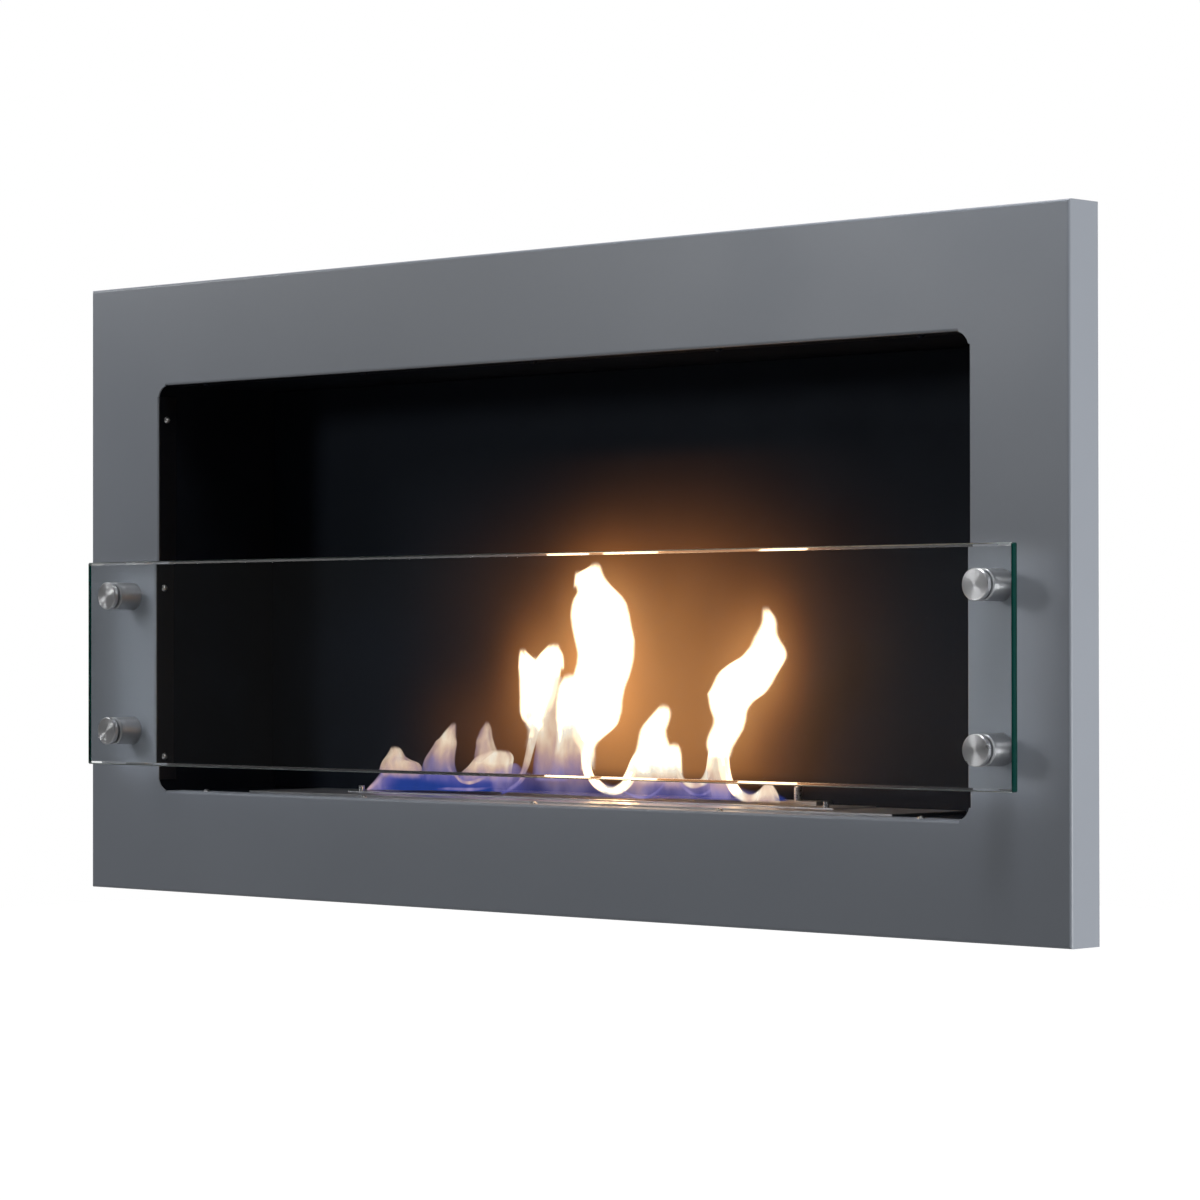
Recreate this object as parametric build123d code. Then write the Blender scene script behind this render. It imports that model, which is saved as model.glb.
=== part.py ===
from build123d import *
import math
import os

# Wall-mounted bioethanol fireplace, in millimetres.
# +Z is up, +X is to the viewer's right and +Y goes into the wall.
# The origin is the middle of the flat back, on the wall plane.

# Front frame, a folded sheet pan
frame_width = 1100.0
frame_height = 540.0
frame_sheet = 1.5
frame_return = 34.0
frame_bend = 2.5
wall_to_front = 150.0

# Opening in the frame, with a folded tab on each side
side_border = 92.5
row_border = 90.0
opening_drop = 0.5
opening_corner = 12.5
tab_depth = 21.0
tab_end_gap = 9.5

# Tab screws: dome heads seen inside the opening
tab_screw_head = 6.5
tab_screw_dome = 2.2
tab_screw_shank = 3.5
tab_screw_socket = 2.2
tab_screw_socket_depth = 1.1
tab_screw_past_nut = 1.0
tab_nut_flats = 6.0
tab_nut_height = 2.5
side_screw_count = 3
side_screw_inset = 30.0
row_screw_count = 5
row_screw_inset = 53.5

# Firebox casing, black sheet
casing_sheet = 1.5
casing_front_gap = 1.0
casing_flange = 15.0
lining_depth = 8.0
lining_sheet = 1.0
lining_side_gap = 2.0
lining_row_gap = 1.0
back_plate_inset = 42.0
wall_hole_radius = 3.5
wall_hole_inset_x = 62.0
wall_hole_inset_z = 23.0

# Blind rivets of the casing
rivet_shank = 3.2
rivet_head = 6.5
rivet_head_height = 1.2
back_rivet_inset = 127.5
back_rivet_count = 4
cheek_rivet_inset = 60.0
cheek_rivet_count = 3
corner_rivet_inset = 23.0
corner_rivet_count = 3

# Stainless floor plate, a shallow pan turned upside down
floor_plate_side_gap = 93.5
floor_plate_depth = 90.0
floor_plate_setback = 25.0
floor_plate_height = 2.8
floor_plate_sheet = 1.2

# Burner: a top plate with a slotted mouth, and the tank welded under it
burner_plate_side_gap = 88.5
burner_plate_depth = 52.0
burner_plate_setback = 61.0
burner_plate_sheet = 1.0
tank_side_margin = 12.5
tank_depth = 40.0
tank_height = 44.8
tank_sheet = 1.0
tank_from_plate_edge = 9.0
tank_clearance = 1.5
floor_hole_margin = 3.0
mouth_end_margin = 28.0
mouth_width = 16.0
mouth_from_plate_edge = 13.0
mouth_windows = 4
mouth_web = 4.0

# Sliding lid, stored open behind the mouth
lid_overlap = 12.0
lid_cover = 2.0
lid_thickness = 3.0
lid_guide_inset = 5.5
lid_shift = -15.0
handle_diameter = 6.5
handle_height = 11.5
handle_chamfer = 0.5
handle_inset = 27.5
handle_spigot = 3.0
guide_screw = 4.0
guide_slot_clearance = 0.2
guide_head = 7.5
guide_head_depth = 2.0
guide_running_gap = 0.3
guide_washer = 8.0
guide_washer_thickness = 0.8
guide_nut_flats = 7.0
guide_nut_height = 3.2
guide_screw_past_nut = 1.0

# Lift pins on the burner's front corners
lift_pin_diameter = 5.0
lift_pin_height = 4.8
lift_pin_inset_x = 11.5
lift_pin_inset_y = 5.5
lift_pin_spigot = 3.0

# Ceramic wool and its perforated cover, inside the tank
wool_side_gap = 2.0
wool_height = 32.0
cover_sheet = 0.8
cover_side_gap = 1.0
cover_hole = 4.0
cover_hole_pitch = 10.0
cover_rows = 3

# Overflow well under the firebox floor
well_sheet = 1.2
well_height = 48.5
well_side_gap = 8.0
well_flange = 12.0
well_rivet_inset = 23.0
well_rivet_count = 4

# Glass guard on four standoffs
glass_side_inset = 30.0
glass_height = 180.0
glass_thickness = 6.0
glass_above_opening = 23.0
glass_gap = 23.0
glass_chamfer = 0.8
glass_corner = 1.5
standoff_from_glass_end = 31.0
standoff_from_glass_edge = 30.0
standoff_diameter = 24.0
standoff_cap_height = 4.0
standoff_chamfer = 0.6
standoff_stem = 8.0
standoff_stem_in_barrel = 8.0
standoff_screw_in_barrel = 10.0
standoff_washer = 16.0
standoff_washer_thickness = 1.5
standoff_head_flats = 13.0
standoff_head_height = 5.3
gasket_diameter = 22.0
gasket_thickness = 0.5
glass_hole = 12.0

# Fits
hole_clearance = 0.1
sleeve_clearance = 0.1

# How far a cutter runs past the metal that it cuts
cut_past = 1.0

# Sizes and places worked out from the sizes above
opening_width = frame_width - 2 * side_border
opening_height = frame_height - 2 * row_border
floor_plate_width = opening_width - 2 * floor_plate_side_gap
burner_plate_width = floor_plate_width - 2 * burner_plate_side_gap
tank_width = burner_plate_width - 2 * tank_side_margin
mouth_length = tank_width - 2 * mouth_end_margin
back_plate_height = frame_height - 2 * back_plate_inset
glass_width = frame_width - 2 * glass_side_inset
standoff_span = glass_width - 2 * standoff_from_glass_end
standoff_rise = glass_height - 2 * standoff_from_glass_edge
front_y = -wall_to_front
frame_back_face_y = front_y + frame_sheet
opening_middle_z = -opening_drop
opening_bottom_z = opening_middle_z - opening_height / 2
opening_top_z = opening_middle_z + opening_height / 2
opening_side_x = opening_width / 2
tab_screw_y = front_y + tab_depth / 2
cheek_inner_x = opening_side_x + frame_sheet
cheek_outer_x = cheek_inner_x + casing_sheet
casing_outer_x = cheek_outer_x + casing_sheet
casing_front_y = frame_back_face_y + casing_front_gap
back_plate_front_y = -casing_sheet
flange_front_y = back_plate_front_y - casing_sheet
floor_top_z = opening_bottom_z - frame_sheet
floor_under_z = floor_top_z - casing_sheet
roof_under_z = opening_top_z + frame_sheet
roof_top_z = roof_under_z + casing_sheet
flange_end_x = cheek_inner_x - casing_flange
lining_y = flange_front_y - lining_depth
floor_plate_front_y = front_y + floor_plate_setback
floor_plate_top_z = floor_top_z + floor_plate_height
burner_front_y = front_y + burner_plate_setback
burner_back_y = burner_front_y + burner_plate_depth
burner_top_z = floor_plate_top_z + burner_plate_sheet
tank_front_y = burner_front_y + tank_from_plate_edge
tank_back_y = tank_front_y + tank_depth
tank_middle_y = (tank_front_y + tank_back_y) / 2
tank_bottom_z = floor_plate_top_z - tank_height
mouth_front_y = burner_front_y + mouth_from_plate_edge
mouth_middle_y = mouth_front_y + mouth_width / 2
lid_travel = mouth_width + 2 * lid_cover
lid_depth = mouth_width + 2 * lid_cover
lid_front_y = mouth_front_y - lid_cover + lid_travel
lid_middle_y = lid_front_y + lid_depth / 2
lid_length = mouth_length + 2 * lid_overlap
lid_top_z = burner_top_z + lid_thickness
guide_spacing = lid_length / 2 - lid_guide_inset
glass_bottom_z = opening_bottom_z + glass_above_opening
glass_middle_z = glass_bottom_z + glass_height / 2
glass_back_y = front_y - glass_gap
glass_front_y = glass_back_y - glass_thickness


# Shapes that several pieces use

def block(x, y, z):
    """A box between two limits along each axis."""
    size = [abs(pair[1] - pair[0]) for pair in (x, y, z)]
    middle = [(pair[0] + pair[1]) / 2 for pair in (x, y, z)]
    return Pos(*middle) * Box(*size)


def rod(diameter, start, end):
    """A round rod between two points on a line along X, Y or Z."""
    run = Vector(*end) - Vector(*start)
    plane = Plane(origin=start, z_dir=run)
    return plane * extrude(Circle(diameter / 2), run.length)


def hexagon(flats, start, end):
    """A hexagonal bar between two points, measured across its flats."""
    run = Vector(*end) - Vector(*start)
    plane = Plane(origin=start, z_dir=run)
    return plane * extrude(RegularPolygon(flats / 2, 6, major_radius=False), run.length)


def point_along(start, direction, distance):
    """The point at a distance from start along a unit direction."""
    return tuple(s + d * distance for s, d in zip(start, direction))


def dome_screw(seat, outward, shank_length):
    """A socketed dome-head screw: its head stands outward from the seat."""
    inward = tuple(-d for d in outward)
    head = rod(tab_screw_head, seat, point_along(seat, outward, tab_screw_dome))
    plane = Plane(origin=seat, z_dir=outward)
    ball_radius = ((tab_screw_head / 2) ** 2 + tab_screw_dome ** 2) / (2 * tab_screw_dome)
    ball = plane * (Pos(0, 0, tab_screw_dome - ball_radius) * Sphere(ball_radius))
    crown = point_along(seat, outward, tab_screw_dome)
    socket_floor = point_along(seat, outward, tab_screw_dome - tab_screw_socket_depth)
    shank = rod(tab_screw_shank, seat, point_along(seat, inward, shank_length))
    return (head & ball) - hexagon(tab_screw_socket, socket_floor, crown) + shank


def blind_rivet(seat, outward, grip):
    """A blind rivet with a flat head on the seat and its tail flush at the far side."""
    inward = tuple(-d for d in outward)
    head = rod(rivet_head, seat, point_along(seat, outward, rivet_head_height))
    return head + rod(rivet_shank, seat, point_along(seat, inward, grip))


def spread(count, pitch):
    """Evenly spaced places about zero."""
    return [(i - (count - 1) / 2) * pitch for i in range(count)]


def spread_over(count, span):
    """Evenly spaced places about zero, the first and last a span apart."""
    return spread(count, span / (count - 1))


def group(solids):
    """Separate solids kept together as one node."""
    return Compound(children=list(solids))


# Where the fasteners sit

side_screw_span = opening_height - 2 * side_screw_inset
side_screw_z = [opening_middle_z + z for z in spread_over(side_screw_count, side_screw_span)]
row_screw_x = spread_over(row_screw_count, opening_width - 2 * row_screw_inset)
standoff_places = [
    (x, glass_middle_z + z)
    for x in (-standoff_span / 2, standoff_span / 2)
    for z in (-standoff_rise / 2, standoff_rise / 2)
]
wall_hole_x = casing_outer_x - wall_hole_inset_x
wall_hole_z = back_plate_height / 2 - wall_hole_inset_z
wall_holes = [(x, z) for x in (-wall_hole_x, wall_hole_x) for z in (-wall_hole_z, wall_hole_z)]
back_rivet_x = spread_over(back_rivet_count, opening_width - 2 * back_rivet_inset)
cheek_rivet_span = opening_height - 2 * cheek_rivet_inset
cheek_rivet_z = [opening_middle_z + z for z in spread_over(cheek_rivet_count, cheek_rivet_span)]
roof_rivet_z = roof_under_z - casing_flange / 2
floor_rivet_z = floor_top_z + casing_flange / 2
cheek_rivet_x = cheek_inner_x - casing_flange / 2
casing_middle_y = (casing_front_y + back_plate_front_y) / 2
corner_rivet_span = back_plate_front_y - casing_front_y - 2 * corner_rivet_inset
corner_rivet_y = [casing_middle_y + y for y in spread_over(corner_rivet_count, corner_rivet_span)]
roof_corner_rivet_z = roof_top_z - casing_flange / 2
floor_corner_rivet_z = floor_under_z + casing_flange / 2
well_inner_x = tank_width / 2 + tank_clearance + well_side_gap
well_inner_y = tank_depth / 2 + tank_clearance + well_side_gap
well_flange_x = well_inner_x + well_sheet + well_flange
well_flange_y = well_inner_y + well_sheet + well_flange
well_rivet_y = [tank_middle_y + side * (well_flange_y - well_flange / 2) for side in (-1, 1)]
well_rivet_x = spread_over(well_rivet_count, tank_width - 2 * well_rivet_inset)
guide_x = [lid_shift - guide_spacing, lid_shift + guide_spacing]
lift_pin_x = [
    -burner_plate_width / 2 + lift_pin_inset_x,
    burner_plate_width / 2 - lift_pin_inset_x,
]
lift_pin_y = burner_front_y + lift_pin_inset_y


def through_y(diameter, places, y):
    """Round cutters along Y at a list of X and Z places."""
    return [rod(diameter, (x, y[0], z), (x, y[1], z)) for x, z in places]


def back_rivet_places():
    """The X and Z places of the rivets that hold the back plate."""
    rows = [(x, z) for x in back_rivet_x for z in (roof_rivet_z, floor_rivet_z)]
    columns = [(side * cheek_rivet_x, z) for side in (-1, 1) for z in cheek_rivet_z]
    return rows + columns


# Front frame

def opening_prism(y):
    """The opening with its round corners, between two depths."""
    outline = RectangleRounded(opening_width, opening_height, opening_corner)
    place = Plane(origin=(0, y[1], opening_middle_z), x_dir=(1, 0, 0), z_dir=(0, -1, 0))
    return extrude(place * outline, y[1] - y[0])


def folded_tab(length):
    """A tab folded back from the face, about its own edge at X = 0, standing along Z.

    The metal lies at negative X, and the face is at Y = 0.
    """
    arc_middle = (-frame_bend, frame_bend)
    bend = Pos(*arc_middle) * (Circle(frame_bend) - Circle(frame_bend - frame_sheet))
    quarter = Pos(-frame_bend / 2, frame_bend / 2) * Rectangle(frame_bend, frame_bend)
    straight_depth = tab_depth - frame_bend
    straight = Pos(-frame_sheet / 2, frame_bend + straight_depth / 2) * Rectangle(frame_sheet, straight_depth)
    profile = (bend & quarter) + straight
    return Pos(0, 0, -length / 2) * extrude(profile, length)


def tab_places():
    """Each tab with its length and the placement of its edge."""
    side_length = opening_height - 2 * tab_end_gap
    row_length = opening_width - 2 * tab_end_gap
    edge = Pos(0, front_y, opening_middle_z)
    half_x = opening_width / 2
    half_z = opening_height / 2
    return [
        (side_length, edge * Pos(-half_x, 0, 0)),
        (side_length, edge * Rot(0, 180, 0) * Pos(-half_x, 0, 0)),
        (row_length, edge * Rot(0, -90, 0) * Pos(-half_z, 0, 0)),
        (row_length, edge * Rot(0, 90, 0) * Pos(-half_z, 0, 0)),
    ]


def screw_holes_in_tabs(diameter):
    """Cutters for the screws of all four tabs, right through tab and casing."""
    reach = frame_sheet + casing_sheet + cut_past
    cutters = []
    for side in (-1, 1):
        for z in side_screw_z:
            start = (side * (opening_side_x - cut_past), tab_screw_y, z)
            end = (side * (opening_side_x + reach), tab_screw_y, z)
            cutters.append(rod(diameter, start, end))
        edge_z = opening_middle_z + side * opening_height / 2
        for x in row_screw_x:
            start = (x, tab_screw_y, edge_z - side * cut_past)
            end = (x, tab_screw_y, edge_z + side * reach)
            cutters.append(rod(diameter, start, end))
    return cutters


def front_frame():
    """One sheet: face, four outer returns and four tabs round the opening."""
    half_x = frame_width / 2
    half_z = frame_height / 2
    back_y = front_y + frame_return
    outer = block((-half_x, half_x), (front_y, back_y), (-half_z, half_z))
    outer = fillet(outer.faces().sort_by(Axis.Y)[0].edges(), frame_bend)
    inner = block(
        (-half_x + frame_sheet, half_x - frame_sheet),
        (frame_back_face_y, back_y + cut_past),
        (-half_z + frame_sheet, half_z - frame_sheet),
    )
    inner = fillet(inner.faces().sort_by(Axis.Y)[0].edges(), frame_bend - frame_sheet)
    face = (front_y - cut_past, frame_back_face_y + cut_past)
    sheet = outer - inner - opening_prism(face)
    for length, place in tab_places():
        relief = block(
            (-frame_bend, cut_past),
            (-cut_past, frame_sheet + cut_past),
            (-length / 2, length / 2),
        )
        sheet = sheet - place * relief + place * folded_tab(length)
    sheet = sheet - screw_holes_in_tabs(tab_screw_shank + hole_clearance)
    return sheet - through_y(standoff_stem + hole_clearance, standoff_places, face)


def tab_screw_length():
    """Shank length from the head's seat to past the nut."""
    return frame_sheet + casing_sheet + tab_nut_height + tab_screw_past_nut


def side_tab_screws():
    screws = []
    for side in (-1, 1):
        for z in side_screw_z:
            seat = (side * opening_side_x, tab_screw_y, z)
            screws.append(dome_screw(seat, (-side, 0, 0), tab_screw_length()))
    return group(screws)


def row_tab_screws(side):
    """The screws of the top tab (side 1) or the bottom tab (side -1)."""
    edge_z = opening_middle_z + side * opening_height / 2
    seats = [(x, tab_screw_y, edge_z) for x in row_screw_x]
    return group(dome_screw(seat, (0, 0, -side), tab_screw_length()) for seat in seats)


def tab_nuts():
    """Hexagonal nuts on the outside of the casing, one for each tab screw."""
    nuts = []
    bore = tab_screw_shank + hole_clearance
    near = frame_sheet + casing_sheet
    far = near + tab_nut_height
    for side in (-1, 1):
        for z in side_screw_z:
            start = (side * (opening_side_x + near), tab_screw_y, z)
            end = (side * (opening_side_x + far), tab_screw_y, z)
            nuts.append(hexagon(tab_nut_flats, start, end) - rod(bore, start, end))
        edge_z = opening_middle_z + side * opening_height / 2
        for x in row_screw_x:
            start = (x, tab_screw_y, edge_z + side * near)
            end = (x, tab_screw_y, edge_z + side * far)
            nuts.append(hexagon(tab_nut_flats, start, end) - rod(bore, start, end))
    return group(nuts)


# Firebox casing

def corner_rivet_holes():
    """Cutters for the rivets that join the cheeks to the roof and floor flanges."""
    diameter = rivet_shank + hole_clearance
    cutters = []
    for side in (-1, 1):
        for y in corner_rivet_y:
            for z in (roof_corner_rivet_z, floor_corner_rivet_z):
                start = (side * (cheek_inner_x - cut_past), y, z)
                end = (side * (casing_outer_x + cut_past), y, z)
                cutters.append(rod(diameter, start, end))
    return cutters


def back_rivet_holes():
    """Cutters for the rivets of the back plate."""
    span = (flange_front_y - cut_past, cut_past)
    return through_y(rivet_shank + hole_clearance, back_rivet_places(), span)


def cheek(side):
    """A side wall of the firebox with its rear flange turned inward."""
    wall = block(
        (side * cheek_inner_x, side * cheek_outer_x),
        (casing_front_y, back_plate_front_y),
        (floor_top_z, roof_under_z),
    )
    flange = block(
        (side * flange_end_x, side * cheek_outer_x),
        (flange_front_y, back_plate_front_y),
        (floor_top_z, roof_under_z),
    )
    holes = screw_holes_in_tabs(tab_screw_shank + hole_clearance)
    return wall + flange - holes - corner_rivet_holes() - back_rivet_holes()


def row_panel(side):
    """The roof (side 1) or the floor (side -1), with rear and outer side flanges."""
    near_z = roof_under_z if side > 0 else floor_top_z
    far_z = near_z + side * casing_sheet
    depth = (casing_front_y, back_plate_front_y)
    sheet = block((-casing_outer_x, casing_outer_x), depth, (near_z, far_z))
    rear = block(
        (-flange_end_x + casing_front_gap, flange_end_x - casing_front_gap),
        (flange_front_y, back_plate_front_y),
        (near_z - side * casing_flange, far_z),
    )
    panel = sheet + rear
    for hand in (-1, 1):
        panel += block(
            (hand * cheek_outer_x, hand * casing_outer_x),
            depth,
            (far_z - side * casing_flange, far_z),
        )
    holes = screw_holes_in_tabs(tab_screw_shank + hole_clearance)
    return panel - holes - corner_rivet_holes() - back_rivet_holes()


def firebox_floor():
    """The floor, with the hole that the tank hangs through and the well's rivet holes."""
    half_x = tank_width / 2 + floor_hole_margin
    half_y = tank_depth / 2 + floor_hole_margin
    hole = block(
        (-half_x, half_x),
        (tank_middle_y - half_y, tank_middle_y + half_y),
        (floor_under_z - cut_past, floor_top_z + cut_past),
    )
    return row_panel(-1) - hole - well_rivet_holes()


def casing_back():
    """The flat plate on the wall, taller than the casing so that its wall holes can be reached."""
    plate = block(
        (-casing_outer_x, casing_outer_x),
        (back_plate_front_y, 0),
        (-back_plate_height / 2, back_plate_height / 2),
    )
    span = (back_plate_front_y - cut_past, cut_past)
    return plate - back_rivet_holes() - through_y(2 * wall_hole_radius, wall_holes, span)


def fire_back():
    """The inner back wall: a shallow pan that keeps an air gap to the back plate."""
    half_x = cheek_inner_x - lining_side_gap
    top_z = roof_under_z - lining_row_gap
    bottom_z = floor_top_z + lining_row_gap
    outer = block((-half_x, half_x), (lining_y, flange_front_y), (bottom_z, top_z))
    inner = block(
        (-half_x + lining_sheet, half_x - lining_sheet),
        (lining_y + lining_sheet, flange_front_y + cut_past),
        (bottom_z + lining_sheet, top_z - lining_sheet),
    )
    return outer - inner


def back_rivets():
    """Rivets with their heads in the air gap and their tails flush with the wall plane."""
    seats = [(x, flange_front_y, z) for x, z in back_rivet_places()]
    return group(blind_rivet(seat, (0, -1, 0), 2 * casing_sheet) for seat in seats)


def corner_rivets():
    """Rivets through the outer side flanges into the cheeks."""
    rivets = []
    for side in (-1, 1):
        for y in corner_rivet_y:
            for z in (roof_corner_rivet_z, floor_corner_rivet_z):
                seat = (side * casing_outer_x, y, z)
                rivets.append(blind_rivet(seat, (side, 0, 0), 2 * casing_sheet))
    return group(rivets)


def well_rivet_holes():
    """Cutters for the rivets that hang the overflow well."""
    low = floor_under_z - well_sheet - cut_past
    high = floor_top_z + cut_past
    diameter = rivet_shank + hole_clearance
    return [rod(diameter, (x, y, low), (x, y, high)) for x in well_rivet_x for y in well_rivet_y]


def overflow_well():
    """A folded box that catches spilt fuel, with a flange round its mouth."""
    y = tank_middle_y
    bottom_z = floor_under_z - well_height
    outer = block(
        (-well_inner_x - well_sheet, well_inner_x + well_sheet),
        (y - well_inner_y - well_sheet, y + well_inner_y + well_sheet),
        (bottom_z, floor_under_z),
    )
    flange = block(
        (-well_flange_x, well_flange_x),
        (y - well_flange_y, y + well_flange_y),
        (floor_under_z - well_sheet, floor_under_z),
    )
    hollow = block(
        (-well_inner_x, well_inner_x),
        (y - well_inner_y, y + well_inner_y),
        (bottom_z + well_sheet, floor_under_z + cut_past),
    )
    return outer + flange - hollow - well_rivet_holes()


def well_rivets():
    seats = [(x, y, floor_under_z - well_sheet) for x in well_rivet_x for y in well_rivet_y]
    return group(blind_rivet(seat, (0, 0, -1), well_sheet + casing_sheet) for seat in seats)


# Floor plate and burner

def floor_plate():
    """The bright plate that the burner stands in, with its edges turned down."""
    half_x = floor_plate_width / 2
    back_y = floor_plate_front_y + floor_plate_depth
    outer = block((-half_x, half_x), (floor_plate_front_y, back_y), (floor_top_z, floor_plate_top_z))
    inner = block(
        (-half_x + floor_plate_sheet, half_x - floor_plate_sheet),
        (floor_plate_front_y + floor_plate_sheet, back_y - floor_plate_sheet),
        (floor_top_z - cut_past, floor_plate_top_z - floor_plate_sheet),
    )
    hole_x = tank_width / 2 + tank_clearance
    hole = block(
        (-hole_x, hole_x),
        (tank_front_y - tank_clearance, tank_back_y + tank_clearance),
        (floor_top_z, floor_plate_top_z + cut_past),
    )
    return outer - inner - hole


def mouth_cutters():
    """The burner's mouth, split into windows by webs that keep the plate flat."""
    window = (mouth_length - (mouth_windows - 1) * mouth_web) / mouth_windows
    span = (floor_plate_top_z - cut_past, burner_top_z + cut_past)
    cutters = []
    for x in spread(mouth_windows, window + mouth_web):
        cutters.append(block(
            (lid_shift + x - window / 2, lid_shift + x + window / 2),
            (mouth_front_y, mouth_front_y + mouth_width),
            span,
        ))
    return cutters


def guide_slots():
    """Slots across the plate in which the lid's guide screws run."""
    width = guide_screw + 2 * guide_slot_clearance
    outline = SlotCenterToCenter(lid_travel, width, rotation=90)
    middle_y = lid_middle_y - lid_travel / 2
    low = floor_plate_top_z - cut_past
    depth = burner_plate_sheet + 2 * cut_past
    return [extrude(Pos(x, middle_y, low) * outline, depth) for x in guide_x]


def burner_top_plate():
    half_x = burner_plate_width / 2
    plate = block((-half_x, half_x), (burner_front_y, burner_back_y), (floor_plate_top_z, burner_top_z))
    pins = [
        rod(lift_pin_spigot, (x, lift_pin_y, floor_plate_top_z), (x, lift_pin_y, burner_top_z))
        for x in lift_pin_x
    ]
    return plate - mouth_cutters() - guide_slots() - pins


def burner_tank():
    """The open box that holds the wool and the fuel."""
    half_x = tank_width / 2
    outer = block((-half_x, half_x), (tank_front_y, tank_back_y), (tank_bottom_z, floor_plate_top_z))
    inner = block(
        (-half_x + tank_sheet, half_x - tank_sheet),
        (tank_front_y + tank_sheet, tank_back_y - tank_sheet),
        (tank_bottom_z + tank_sheet, floor_plate_top_z + cut_past),
    )
    return outer - inner


def absorbent_wool():
    half_x = tank_width / 2 - tank_sheet - wool_side_gap
    half_y = tank_depth / 2 - tank_sheet - wool_side_gap
    bottom_z = tank_bottom_z + tank_sheet
    return block(
        (-half_x, half_x),
        (tank_middle_y - half_y, tank_middle_y + half_y),
        (bottom_z, bottom_z + wool_height),
    )


def wool_cover():
    """A perforated sheet that lies on the wool."""
    width = tank_width - 2 * (tank_sheet + cover_side_gap)
    depth = tank_depth - 2 * (tank_sheet + cover_side_gap)
    columns = math.floor(width / cover_hole_pitch) - 1
    holes = GridLocations(cover_hole_pitch, cover_hole_pitch, columns, cover_rows) * Circle(cover_hole / 2)
    sheet = Rectangle(width, depth) - holes
    top_of_wool = tank_bottom_z + tank_sheet + wool_height
    return Pos(0, tank_middle_y, top_of_wool) * extrude(sheet, cover_sheet)


def lift_pins():
    """Two pins that the burner is lifted by, each with a spigot in the plate."""
    pins = []
    for x in lift_pin_x:
        foot = (x, lift_pin_y, burner_top_z)
        pin = rod(lift_pin_diameter, foot, (x, lift_pin_y, burner_top_z + lift_pin_height))
        pins.append(pin + rod(lift_pin_spigot, (x, lift_pin_y, floor_plate_top_z), foot))
    return group(pins)


# Sliding lid

def guide_head_cone(x, clearance):
    """The countersunk head of a guide screw, or its seat when a clearance is given."""
    straight = guide_head_depth
    cone = Cone((guide_screw + clearance) / 2, (guide_head + clearance) / 2, straight)
    return Pos(x, lid_middle_y, lid_top_z - straight / 2) * cone


def sliding_lid():
    """The bar that closes the mouth, drawn in its open place behind it."""
    half_x = lid_length / 2
    lid = block(
        (lid_shift - half_x, lid_shift + half_x),
        (lid_front_y, lid_front_y + lid_depth),
        (burner_top_z, lid_top_z),
    )
    for x in guide_x:
        lid -= rod(
            guide_screw + hole_clearance,
            (x, lid_middle_y, burner_top_z),
            (x, lid_middle_y, lid_top_z),
        )
        lid -= guide_head_cone(x, hole_clearance)
    x = handle_x()
    return lid - rod(handle_spigot, (x, lid_middle_y, burner_top_z), (x, lid_middle_y, lid_top_z))


def handle_x():
    """Where the handle stands, measured from the lid's right end."""
    return lid_shift + lid_length / 2 - handle_inset


def lid_handle():
    """The post that pulls the lid shut."""
    x = handle_x()
    foot = (x, lid_middle_y, lid_top_z)
    post = rod(handle_diameter, foot, (x, lid_middle_y, lid_top_z + handle_height))
    post = chamfer(post.edges().sort_by(Axis.Z)[-1], handle_chamfer)
    return post + rod(handle_spigot, (x, lid_middle_y, burner_top_z), foot)


def guide_stack_z():
    """Heights of the washer's top, the nut's top, the nut's foot and the screw's tip."""
    washer_top = floor_plate_top_z - guide_running_gap
    nut_top = washer_top - guide_washer_thickness
    nut_foot = nut_top - guide_nut_height
    return washer_top, nut_top, nut_foot, nut_foot - guide_screw_past_nut


def lid_guide_screws():
    """Countersunk screws that hold the lid down and keep it straight."""
    tip = guide_stack_z()[3]
    screws = []
    for x in guide_x:
        shank = rod(guide_screw, (x, lid_middle_y, lid_top_z), (x, lid_middle_y, tip))
        screws.append(guide_head_cone(x, 0) + shank)
    return group(screws)


def lid_guide_washers():
    top, foot = guide_stack_z()[:2]
    rings = []
    for x in guide_x:
        ends = ((x, lid_middle_y, foot), (x, lid_middle_y, top))
        rings.append(rod(guide_washer, *ends) - rod(guide_screw + hole_clearance, *ends))
    return group(rings)


def lid_guide_nuts():
    top, foot = guide_stack_z()[1:3]
    nuts = []
    for x in guide_x:
        ends = ((x, lid_middle_y, foot), (x, lid_middle_y, top))
        nuts.append(hexagon(guide_nut_flats, *ends) - rod(guide_screw + hole_clearance, *ends))
    return group(nuts)


# Glass guard and its standoffs

def rings_on_standoffs(outer, inner, y):
    """Four rings, one on each standoff's axis, between two depths."""
    rings = []
    for x, z in standoff_places:
        ends = ((x, y[0], z), (x, y[1], z))
        rings.append(rod(outer, *ends) - rod(inner, *ends))
    return rings


def glass_guard():
    """Toughened glass with bevelled edges and four holes."""
    outline = RectangleRounded(glass_width, glass_height, glass_corner)
    place = Plane(origin=(0, glass_back_y, glass_middle_z), x_dir=(1, 0, 0), z_dir=(0, -1, 0))
    glass = extrude(place * outline, glass_thickness)
    ends = glass.faces().sort_by(Axis.Y)
    glass = chamfer(ends[0].edges() + ends[-1].edges(), glass_chamfer)
    span = (glass_front_y - cut_past, glass_back_y + cut_past)
    return glass - through_y(glass_hole, standoff_places, span)


def glass_sleeves():
    """Plastic sleeves that keep the metal off the glass, one in each hole."""
    outer = glass_hole - 2 * sleeve_clearance
    inner = standoff_stem + 2 * sleeve_clearance
    return group(rings_on_standoffs(outer, inner, (glass_front_y, glass_back_y)))


def front_gaskets():
    face = (glass_front_y - gasket_thickness, glass_front_y)
    return group(rings_on_standoffs(gasket_diameter, standoff_stem + 2 * sleeve_clearance, face))


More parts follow.
